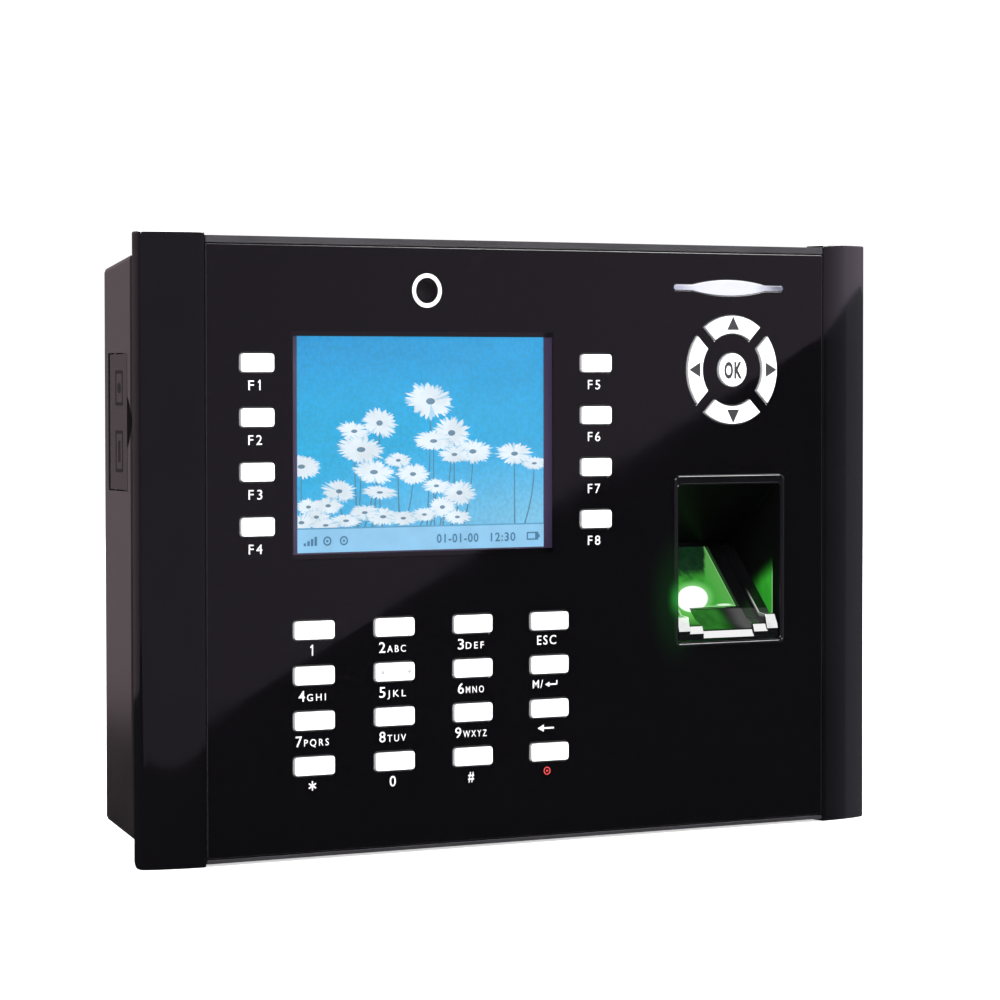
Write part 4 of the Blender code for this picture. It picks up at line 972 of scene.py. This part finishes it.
# The place in the picture from 0 to 1, the size, the height over the width, and the lean in degrees.
FLOWERS = (
    (0.532, 0.694, 0.096, 0.62, -12.0), (0.326, 0.594, 0.068, 0.73, -12.0), (0.225, 0.557, 0.065, 0.50, -9.0),
    (0.618, 0.545, 0.078, 0.68, -6.0), (0.544, 0.508, 0.077, 0.45, -4.0), (0.252, 0.472, 0.091, 0.51, -8.0),
    (0.705, 0.457, 0.079, 0.52, -3.0), (0.878, 0.444, 0.075, 0.52, -6.0), (0.961, 0.397, 0.055, 0.40, 0.0),
    (0.016, 0.397, 0.075, 0.52, -6.0), (0.303, 0.367, 0.083, 0.48, -8.0), (0.460, 0.355, 0.065, 0.54, -3.0),
    (0.629, 0.444, 0.063, 0.46, 0.0), (0.164, 0.281, 0.067, 0.56, -6.0), (0.649, 0.264, 0.066, 0.64, 0.0),
    (0.555, 0.298, 0.057, 0.45, 0.0), (0.326, 0.272, 0.067, 0.34, -4.0), (0.043, 0.211, 0.050, 0.57, -4.0),
    (0.074, 0.164, 0.054, 0.54, 0.0), (0.579, 0.198, 0.055, 0.63, 0.0), (0.191, 0.144, 0.063, 0.37, 0.0),
    (0.339, 0.159, 0.067, 0.45, 0.0), (0.120, 0.215, 0.058, 0.50, 0.0), (0.015, 0.140, 0.060, 0.50, 0.0),
    (0.265, 0.180, 0.062, 0.42, 0.0), (0.420, 0.150, 0.058, 0.42, 0.0), (0.505, 0.165, 0.052, 0.45, 0.0),
    (0.110, 0.125, 0.060, 0.40, 0.0), (0.640, 0.150, 0.055, 0.45, 0.0), (0.400, 0.420, 0.052, 0.50, 0.0),
)


def screen_point(u, v):
    """Millimetres from fractions of the picture's width and height."""
    return SCREEN_LEFT + u * SCREEN_WIDTH, SCREEN_LOW + v * SCREEN_HEIGHT


def petal(cx, cz, angle, reach, width, squash, tilt):
    """A narrow petal with a pointed tip."""
    profile = ((0.14, 0.35), (0.45, 0.90), (0.72, 1.0), (0.90, 0.62))
    points = [(along * reach, across * width / 2) for along, across in profile]
    points += [(reach, 0.0)]
    points += [(along * reach, -across * width / 2) for along, across in reversed(profile)]
    placed = []
    for along, across in points:
        x = along * math.cos(angle) - across * math.sin(angle)
        z = (along * math.sin(angle) + across * math.cos(angle)) * squash
        placed.append((cx + x * math.cos(tilt) - z * math.sin(tilt),
                       cz + x * math.sin(tilt) + z * math.cos(tilt)))
    return placed


def clip_screen(points):
    """Keep an outline inside the picture and above the status bar."""
    return [(min(max(x, SCREEN_LEFT), SCREEN_RIGHT), max(z, BAR_TOP)) for x, z in points]


def add_flower(bm, dice, index, u, v, size, squash, tilt):
    cx, cz = screen_point(u, v)
    reach = size * SCREEN_WIDTH * FLOWER_SCALE
    tilt = math.radians(tilt)
    front = FLOWER_DEPTH - index * 0.005
    for ring, (scale, material) in enumerate(((1.0, 1), (0.96, 0), (0.84, 0))):
        for i in range(PETALS):
            if dice.random() < 0.10 * (ring + 1):
                continue
            angle = math.tau * (i + 0.33 * ring + dice.uniform(-0.35, 0.35)) / PETALS
            length = reach * scale * dice.uniform(0.80, 1.06)
            width = reach * dice.uniform(0.11, 0.17)
            points = clip_screen(petal(cx, cz, angle, length, width, squash, tilt))
            if max(z for _, z in points) > BAR_TOP + 0.2:
                flat_shape(bm, points, front - 0.001 * ring, material)
    disk = [(cx + reach * 0.17 * math.cos(a), cz + reach * 0.17 * squash * math.sin(a))
            for a in (math.tau * k / 20 for k in range(20))]
    if min(z for _, z in disk) > BAR_TOP + 0.1:
        flat_shape(bm, clip_screen(disk), front - 0.004, 2)


def add_stem(bm, dice, u, v):
    """A thin stalk from a flower down to the status bar."""
    x0, z0 = screen_point(u, v)
    bend = dice.uniform(-3.0, 3.0)
    steps = 8
    edge = []
    for i in range(steps + 1):
        t = i / steps
        z = z0 + (BAR_TOP - z0) * t
        x = x0 + bend * t * t
        edge.append((x, z, 0.14 + 0.08 * t))
    right = [(x + w, z) for x, z, w in edge]
    left = [(x - w, z) for x, z, w in reversed(edge)]
    flat_shape(bm, clip_screen(right + left), STEM_DEPTH, 3)


def screen_band(bm, low, high, depths, material=0):
    """A slab as wide as the screen."""
    slab(bm, [(SCREEN_LEFT, low), (SCREEN_RIGHT, low), (SCREEN_RIGHT, high), (SCREEN_LEFT, high)],
         *depths, material)


def make_picture():
    dice = random.Random(7)
    bm = bmesh.new()
    screen_band(bm, SCREEN_LOW, SCREEN_HIGH, SKY_DEPTHS)
    make_piece("display_sky", bm, [sky_material()])
    bm = bmesh.new()
    for u, v, *_ in FLOWERS:
        add_stem(bm, dice, u, v)
    for index, flower in enumerate(FLOWERS):
        add_flower(bm, dice, index, *flower)
    tones = [glow("petal_light", (0.80, 0.90, 0.98)), glow("petal_shade", (0.46, 0.72, 0.90)),
             glow("flower_heart", (0.14, 0.27, 0.38)), glow("flower_stalk", (0.08, 0.24, 0.38))]
    make_piece("display_flowers", finish_mesh(bm, "display_flowers", False), tones)


def make_status_bar():
    """A plain clock, a date of zeros and ones, a battery mark and three plain marks."""
    bm = bmesh.new()
    screen_band(bm, SCREEN_LOW, BAR_TOP - BAR_LINE, BAR_DEPTHS)
    screen_band(bm, BAR_TOP - BAR_LINE, BAR_TOP, BAR_DEPTHS, 1)

    def mark(x, z, half_w, half_h, corner, depths=INK_DEPTHS, material=2):
        slab(bm, rounded_rect(x, z, half_w, half_h, corner, 2), *depths, material)

    ink_z = SCREEN_LOW + 2.75
    text_mesh(bm, "01-01-00", screen_point(0.642, 0.0)[0], ink_z, 2.2, 12.0, 2.14, 0.02, 2)
    text_mesh(bm, "12:30", screen_point(0.83, 0.0)[0], ink_z, 2.2, 7.2, 2.14, 0.02, 2)
    battery_x = screen_point(0.953, 0.0)[0]
    mark(battery_x, ink_z, 1.7, 1.0, 0.2)
    mark(battery_x + 1.9, ink_z, 0.2, 0.45, 0.1)
    mark(battery_x - 0.3, ink_z, 1.05, 0.65, 0.1, (2.11, 2.12), 0)
    for i in range(4):
        height = 0.7 + i * 0.5
        mark(SCREEN_LEFT + 2.0 + i, ink_z - 1.1 + height / 2, 0.33, height / 2, 0.08)
    for x in (SCREEN_LEFT + 8.2, SCREEN_LEFT + 12.8):
        ring_slab(bm, x, ink_z, 0.75, 1.15, *INK_DEPTHS, 2, 20)
        mark(x, ink_z, 0.3, 0.3, 0.1)
    tones = [glow("status_bar", (0.29, 0.62, 0.90), 0.05), glow("status_line", (0.10, 0.36, 0.62)),
             glow("status_ink", (0.06, 0.20, 0.38))]
    make_piece("display_status", finish_mesh(bm, "display_status", False), tones)


# ---------------------------------------------------------------- fingerprint sensor

def make_sensor():
    """Rim and pocket of the finger recess."""
    rim_w, rim_h = half_size("sensor_bezel")

    def rim(grow, depth):
        return rounded_rect(BEZEL_X, BEZEL_Z, rim_w + grow, rim_h + grow, RIM_CORNER + grow), depth

    def mouth(grow, depth, high=RECESS_HIGH, corner=0.8):
        z = (RECESS_LOW + high) / 2
        half_h = (high - RECESS_LOW) / 2
        return rounded_rect(BEZEL_X, z, RECESS_HALF_WIDTH + grow, half_h + grow, corner + grow), depth

    sections = [
        mouth(0.6, 23.2, -2.65, 0.1), mouth(0.6, 1.5), mouth(0.6, -0.02), rim(0.0, -0.02),
        rim(0.0, -0.22), rim(-0.08, -0.42), rim(-0.24, -0.56), rim(-0.45, -0.6), rim(-0.62, -0.56),
        rim(-0.74, -0.42), rim(-0.9, -0.38), mouth(0.45, -0.38), mouth(0.35, -0.46),
        mouth(0.18, -0.46), mouth(0.05, -0.36), mouth(0.0, -0.2), mouth(0.0, 1.5),
        mouth(0.0, 22.6, -2.65, 0.1),
    ]
    mesh = loft("sensor_surround", sections)
    for polygon in mesh.polygons:
        polygon.material_index = 0 if polygon.center.y / MM < GLASS_Y - 0.1 else 1
    make_piece("sensor_surround", mesh, [rim_material(), pocket_material()],
               replaces=["sensor_bezel"])


def gloss_black(name, smear_mm, least_rough, most_rough, relief):
    """A shader for gloss black plastic with a faint smear."""
    s = Shader(name)
    smear = s.noise(smear_mm, 3.0)
    s.surface(Base_Color=s.mix(smear, (0.002, 0.002, 0.0025), (0.004, 0.004, 0.0045)),
              Roughness=s.spread(smear, least_rough, most_rough), Normal=s.bump(smear, relief))
    return s, smear


def rim_material():
    """Gloss black, tinted green on its left side by the platen's glare."""
    s, _ = gloss_black("sensor_rim", 5.0, 0.05, 0.11, 0.004)
    x, _, z = s.axes()
    return s.surface(Emission_Color=HALO_GREEN, Emission_Strength=platen_halo(s, x, z))


def pocket_material():
    """Matt black walls; the right one carries a painted reflection of the lit platen as green emission, up to
    a sharp front edge with a painted highlight line.
    """
    s = Shader("sensor_pocket")
    x, depth, z = s.axes()
    grain = s.noise(0.4, 2.0)
    wall = x > BEZEL_X + RECESS_HALF_WIDTH - 0.15
    edge = s.ramp(depth, WALL_EDGE - 0.15, WALL_EDGE + 0.1)
    # The painted reflection of the platen: strongest low and near the front, fading upwards and deeper in.
    drop = z + (depth - 3.0) * 0.55
    height = s.ramp(drop, -4.0, -11.0) * s.ramp(depth, 17.0, 6.0, 0.15, 1.0)
    soft = s.spread(s.noise(3.5, 2.0, (1.0, 1.0, 0.5)), 0.75, 1.1)
    strength = height ** 2.2 * (edge * soft)
    # A painted highlight line along the front edge of the painted reflection.
    line = s.ramp(abs(depth - WALL_EDGE), 0.22, 0.05) * s.ramp(z, -7.0, -11.0)
    green = s.mix(line, (0.030, 0.36, 0.025), (0.30, 0.75, 0.28))
    return s.surface(Base_Color=(0.0016, 0.0016, 0.0018), Roughness=s.spread(grain, 0.35, 0.5), IOR=1.2,
                     Normal=s.bump(grain, 0.002), Emission_Color=green,
                     Emission_Strength=wall * s.math("MAXIMUM", strength, line))


def hot_spot(x, z, shift=0.0):
    """Distance from the lamp behind the platen, 1 on the border of its leaning oval glare."""
    up = z - HOT_Z
    lean = x - BEZEL_X - (HOT_X - shift) - up * 0.65
    return distance(lean, up, 0.0, 0.0, 1.0 / HOT_HALF_W, 1.0 / HOT_HALF_H)


def platen_material():
    """Lit green glass: dark where the finger sensor's window is, white over its lamp."""
    s = Shader("platen_glow")
    x, _, z = s.axes()
    along = x - BEZEL_X
    streak = s.noise(1.6, 3.0, (1.0, 1.0, 0.35))
    fuzz = s.spread(streak, -0.6, 0.6)
    border = along + fuzz * 0.25 - (z + 5.3) * 0.655
    dark = s.ramp(border, 7.0, 6.0) * s.ramp(z + fuzz, -13.2, -8.8)
    green = s.mix(s.ramp(z, -13.0, -4.0), (0.045, 0.35, 0.035), (0.05, 0.26, 0.04))
    green = s.mix(s.ramp(along, 1.0, 7.0, 0.0, 0.4), green, (0.16, 0.42, 0.12))
    dim = s.mix(s.spread(streak), (0.003, 0.014, 0.006), (0.006, 0.030, 0.012))
    colour = s.mix(dark, green, dim)
    rim = s.math("MAXIMUM", s.ramp(along, 7.25, 7.5), s.ramp(z, -18.1, -18.45))
    colour = s.mix(rim, colour, (0.22, 0.62, 0.20))
    glint = distance(along, z, 4.2, -18.15, 0.36, 3.2)
    colour = s.mix(s.ramp(glint, 1.1, 0.5), colour, (0.75, 0.95, 0.72))
    spot = hot_spot(x, z)
    colour = s.mix(s.ramp(spot, 1.55, 0.95, 0.0, 0.55), colour, (0.30, 0.75, 0.26))
    colour = s.mix(s.ramp(spot, 1.06, 0.9), colour, HOT_WHITE)
    return s.surface(Base_Color=(0.002, 0.006, 0.002), Roughness=0.12, IOR=1.2, Emission_Color=colour,
                     Emission_Strength=1.0, Normal=s.bump(streak, 0.001))


def guide_material():
    """Gloss black steps with the platen's green glare and white hot spot painted on their left and lower
    parts as emission, and painted highlight lines on the corners of the steps.
    """
    s, smear = gloss_black("guide_gloss", 4.0, 0.04, 0.10, 0.003)
    x, depth, z = s.axes()
    along = x - BEZEL_X
    plane = (z + 18.9) * 0.96 + 7.5
    spot = hot_spot(x, z, 0.6)
    left = s.ramp(along, -7.0, -8.0)
    below = s.ramp(z, -18.9, -19.3) * s.ramp(depth, 0.7, 1.6)
    # Painted green glare of the platen on the lowest step.
    green_low = below * s.ramp(along, 4.5, -1.0) * s.spread(smear, 0.5, 0.85)
    colour = s.mix(green_low, BLACK, (0.030, 0.24, 0.025))
    on_step = s.ramp(abs(along), 8.0, 8.2, 1.0, 0.35)
    # A faint painted white highlight on the lower right of the steps.
    grey_low = below * (s.ramp(along, 2.0, 7.4) * 0.08) * on_step
    colour = s.mix(grey_low, colour, (1.0, 1.0, 1.0))
    # The lamp's painted glare and hot spot on the left of the steps.
    colour = s.mix(s.ramp(spot, 2.3, 0.9) * left, colour, (0.12, 0.52, 0.08))
    colour = s.mix(s.ramp(spot, 1.1, 0.9) * left, colour, HOT_WHITE)
    # Painted highlight lines along the corners between the steps.
    corner = s.ramp(abs(abs(along) - 12.2), 0.24, 0.12)
    top = corner * s.ramp(plane - depth, 1.75, 2.1)
    reach = s.ramp(z, -21.4, -20.6) * s.ramp(z, -14.0, -18.5)
    colour = s.mix(top * reach * 0.6, colour, (0.85, 0.95, 0.85))
    return s.surface(Emission_Color=colour, Emission_Strength=1.0)


# ---------------------------------------------------------------- carried-over CAD nodes

CAD_FINISHES = {
    "front_frame": "frame", "rear_housing": "housing", "usb_door": "door",
    "camera_module": "camera", "lcd_panel": "lcd_frame",
    "sensor_board": "board", "key_board": "board", "main_board": "board", "key_membrane": "rubber",
    "wall_plate": "steel", "door_pin": "steel", "usb_socket": "steel", "service_socket": "steel",
    "ethernet_jack": "zinc", "security_screw": "zinc", "housing_screw_1": "zinc",
    "housing_screw_2": "zinc", "housing_screw_3": "zinc", "housing_screw_4": "zinc",
    "terminal_block": "green", "battery": "battery", "speaker": "component",
    "tamper_switch": "component", "tamper_plunger": "plunger",
}
BEVELS = {"front_frame": 0.2, "usb_door": 0.15, "wall_plate": 0.15}


def finish_cad_nodes():
    for node, finish in CAD_FINISHES.items():
        obj = frame["nodes"][node]
        obj.data.materials.clear()
        obj.data.materials.append(MATERIALS[finish])
        if node in BEVELS:
            add_bevel(obj, BEVELS[node])
    for node, material in (("sensor_prism", platen_material()), ("sensor_guide", guide_material())):
        data = frame["nodes"][node].data
        data.materials.clear()
        data.materials.append(material)
    add_bevel(frame["nodes"]["sensor_guide"], 0.12)
    # Painted light: the display frame gets a faint purple glow, standing in for light reaching it through the
    # window.
    border = MATERIALS["lcd_frame"].node_tree.nodes["Principled BSDF"]
    border.inputs["Emission Color"].default_value = (0.011, 0.007, 0.018, 1.0)
    border.inputs["Emission Strength"].default_value = 1.0
    for node in ("rear_housing", "usb_door", "front_frame"):
        even = frame["nodes"][node].modifiers.new("even_normals", "WEIGHTED_NORMAL")
        even.keep_sharp = True


def add_bevel(obj, width):
    weld = obj.modifiers.new("weld", "WELD")
    weld.merge_threshold = 0.00001
    dissolve = obj.modifiers.new("dissolve", "DECIMATE")
    dissolve.decimate_type = "DISSOLVE"
    dissolve.angle_limit = math.radians(1.0)
    bevel = obj.modifiers.new("edges", "BEVEL")
    bevel.width = width * MM
    bevel.segments = 2
    bevel.limit_method = "ANGLE"
    bevel.angle_limit = math.radians(35.0)


# ---------------------------------------------------------------- stage, lights and camera

def make_floor():
    bpy.ops.mesh.primitive_plane_add(size=12.0, location=(0.0, 0.0, CAD_BOX[0][2]))
    floor = bpy.context.object
    floor.name = "floor"
    s = Shader("pale_floor")
    colour = s.mix(s.spread(s.noise(40.0, 3.0)), (0.90, 0.90, 0.90), (0.93, 0.93, 0.93))
    material = s.surface(Base_Color=colour, Roughness=0.9, Emission_Color=(1.0, 1.0, 1.0),
                         Emission_Strength=0.62)
    floor.data.materials.append(material)
    floor.visible_glossy = False


def make_world():
    """White, seen by the camera at full strength, by surfaces at half and hardly in reflections."""
    sky = bpy.data.worlds.new("studio")
    bpy.context.scene.world = sky
    sky.use_nodes = True
    tree = sky.node_tree
    background = tree.nodes["Background"]
    background.inputs["Color"].default_value = (1.0, 1.0, 1.0, 1.0)
    path = tree.nodes.new("ShaderNodeLightPath")
    strength = None
    for ray, level in (("Is Glossy Ray", 0.03), ("Is Camera Ray", 1.05)):
        blend = tree.nodes.new("ShaderNodeMix")
        tree.links.new(path.outputs[ray], blend.inputs["Factor"])
        blend.inputs["A"].default_value = 0.55
        blend.inputs["B"].default_value = level
        if strength:
            tree.links.new(strength, blend.inputs["A"])
        strength = blend.outputs["Result"]
    tree.links.new(strength, background.inputs["Strength"])


def make_area_light(name, location, target, size, power, colour=(1.0, 1.0, 1.0)):
    light = bpy.data.lights.new(name, "AREA")
    light.size = size
    light.energy = power
    light.color = colour
    obj = bpy.data.objects.new(name, light)
    obj.location = location
    obj.rotation_euler = (Vector(target) - Vector(location)).to_track_quat("-Z", "Y").to_euler()
    bpy.context.scene.collection.objects.link(obj)
    obj.visible_camera = False
    return obj


CAMERA_PLACE = Vector((-0.5074, -0.8408, 0.0405))
CAMERA_TURN = (math.radians(88.2), math.radians(0.06), math.radians(-31.57))
CAMERA_LENS = 138.4


def make_camera():
    data = bpy.data.cameras.new("camera")
    data.lens = CAMERA_LENS
    data.sensor_width = 36.0
    camera = bpy.data.objects.new("camera", data)
    camera.location = CAMERA_PLACE
    camera.rotation_euler = CAMERA_TURN
    bpy.context.scene.collection.objects.link(camera)
    bpy.context.scene.camera = camera


def make_card(name, corners, colour, strength, far_strength=None, near_x=0.0, far_x=1.0):
    """A glowing card that only reflections see; its strength may change from near_x to far_x."""
    mesh = bpy.data.meshes.new(name)
    mesh.from_pydata(corners, [], [tuple(range(len(corners)))])
    s = Shader(name)
    x = s.node("SeparateXYZ", Vector=s.coords).outputs[0]
    far_strength = strength if far_strength is None else far_strength
    glow_here = s.ramp(x, near_x, far_x, strength, far_strength, smooth=False)
    mesh.materials.append(s.finish(s.node("Emission", Color=colour, Strength=glow_here).outputs[0]))
    card = bpy.data.objects.new(name, mesh)
    bpy.context.scene.collection.objects.link(card)
    card.visible_camera = False
    card.visible_diffuse = False
    card.visible_transmission = False
    card.visible_shadow = False


FRONT_CARD_Y = -1.0
LEFT_FRONT = (-2.2, FRONT_CARD_Y)
RIGHT_FRONT = (1.8, FRONT_CARD_Y)
LEFT_BACK = (-2.2, 1.5)
RIGHT_BACK = (1.8, 0.6)
CARD_TOP = 1.2
CARD_BOTTOM = -1.2
GLARE_SLOPE = 0.512
GLARE_LEVEL = 0.0053
ROSE = (0.95, 0.80, 1.0)
BLUISH = (0.85, 0.85, 1.0)


def wall(start, end, lows, highs):
    """Corners of an upright card between two plan points, with its low and high z at each."""
    return [(*start, lows[0]), (*end, lows[1]), (*end, highs[1]), (*start, highs[0])]


def mirrored(x, z):
    """Where the camera's ray through (x, z) of the glass, in metres, meets the front card's plane."""
    stretch = (GLASS_Y * MM - FRONT_CARD_Y) / (GLASS_Y * MM - CAMERA_PLACE.y)
    return (x + stretch * (x - CAMERA_PLACE.x), FRONT_CARD_Y, z + stretch * (z - CAMERA_PLACE.z))


def make_cards():
    """Cards that the glass, the rails, the housing and the guide's noses reflect.

    The lower edge of the front card rises to the right, which draws the diagonal glare on the glass.
    """
    left, bend = -0.1, 0.0905
    corner = mirrored(left, GLARE_LEVEL + GLARE_SLOPE * left)
    knee = mirrored(bend, GLARE_LEVEL + GLARE_SLOPE * bend)
    ceiling = mirrored(left, 0.32)[2]
    beside_glass = (0.86, FRONT_CARD_Y)
    rail_low, right_low, side_low = 0.099, 0.118, -0.176
    front = [(*LEFT_FRONT, corner[2]), corner, knee, (*knee[:2], ceiling), (*LEFT_FRONT, ceiling)]
    make_card("front_card", front, (0.95, 0.78, 1.0), 0.30, 0.42, 0.3, 0.8)
    make_card("front_card_right", wall(knee[:2], RIGHT_FRONT, (knee[2], rail_low), (ceiling, ceiling)),
              ROSE, 0.42, 1.3, 0.8, 1.8)
    make_card("front_card_below", wall(beside_glass, RIGHT_FRONT, (CARD_BOTTOM, CARD_BOTTOM),
                                       (0.067, rail_low)), BLUISH, 0.10, 0.28, 0.86, 1.8)
    make_card("right_card_upper", wall(RIGHT_FRONT, RIGHT_BACK, (rail_low, right_low), (CARD_TOP, CARD_TOP)),
              ROSE, 1.3)
    make_card("right_card_lower", wall(RIGHT_FRONT, RIGHT_BACK, (CARD_BOTTOM, CARD_BOTTOM),
                                       (rail_low, right_low)), BLUISH, 0.42)
    make_card("side_card", wall(LEFT_BACK, (0.3, LEFT_BACK[1]), (side_low, side_low), (CARD_TOP, CARD_TOP)),
              (1.0, 0.80, 0.87), 0.17, 0.47, -1.0, -0.8)
    make_card("left_card", wall(LEFT_FRONT, LEFT_BACK, (-0.16, side_low), (0.65, CARD_TOP)), ROSE, 0.2)
    above = [(-0.4, -0.5, 1.3), (1.5, -0.5, 1.3), (1.5, 0.7, 1.3), (-0.4, 0.7, 1.3)]
    make_card("top_card", above, (0.93, 0.88, 1.0), 0.22, 1.15, 0.68, 0.88)
    nose = [(0.50, -0.68, 0.86), (0.83, -0.60, 0.80), (0.86, -0.95, 0.36), (0.50, -1.02, 0.40)]
    make_card("nose_card", nose, (1.0, 1.0, 1.0), 20.0)


def make_lights():
    target = (0.0, -0.02, 0.0)
    make_area_light("key_light", (-1.1, -1.2, 1.1), target, 0.9, 42.0)
    make_area_light("fill_light", (0.9, -1.0, 0.9), target, 0.6, 9.0)
    make_area_light("back_light", (0.6, 1.2, 0.9), target, 0.9, 22.0)


# ---------------------------------------------------------------- build

bpy.context.scene.view_settings.view_transform = "Standard"
make_front_panel()
make_rails()
make_keys()
make_lamp()
make_legends()
make_power_mark()
make_nav_marks()
make_key_bumps()
make_door_marks()
make_camera_ring()
make_picture()
make_status_bar()
make_sensor()
finish_cad_nodes()
make_floor()
make_world()
make_camera()
make_cards()
make_lights()
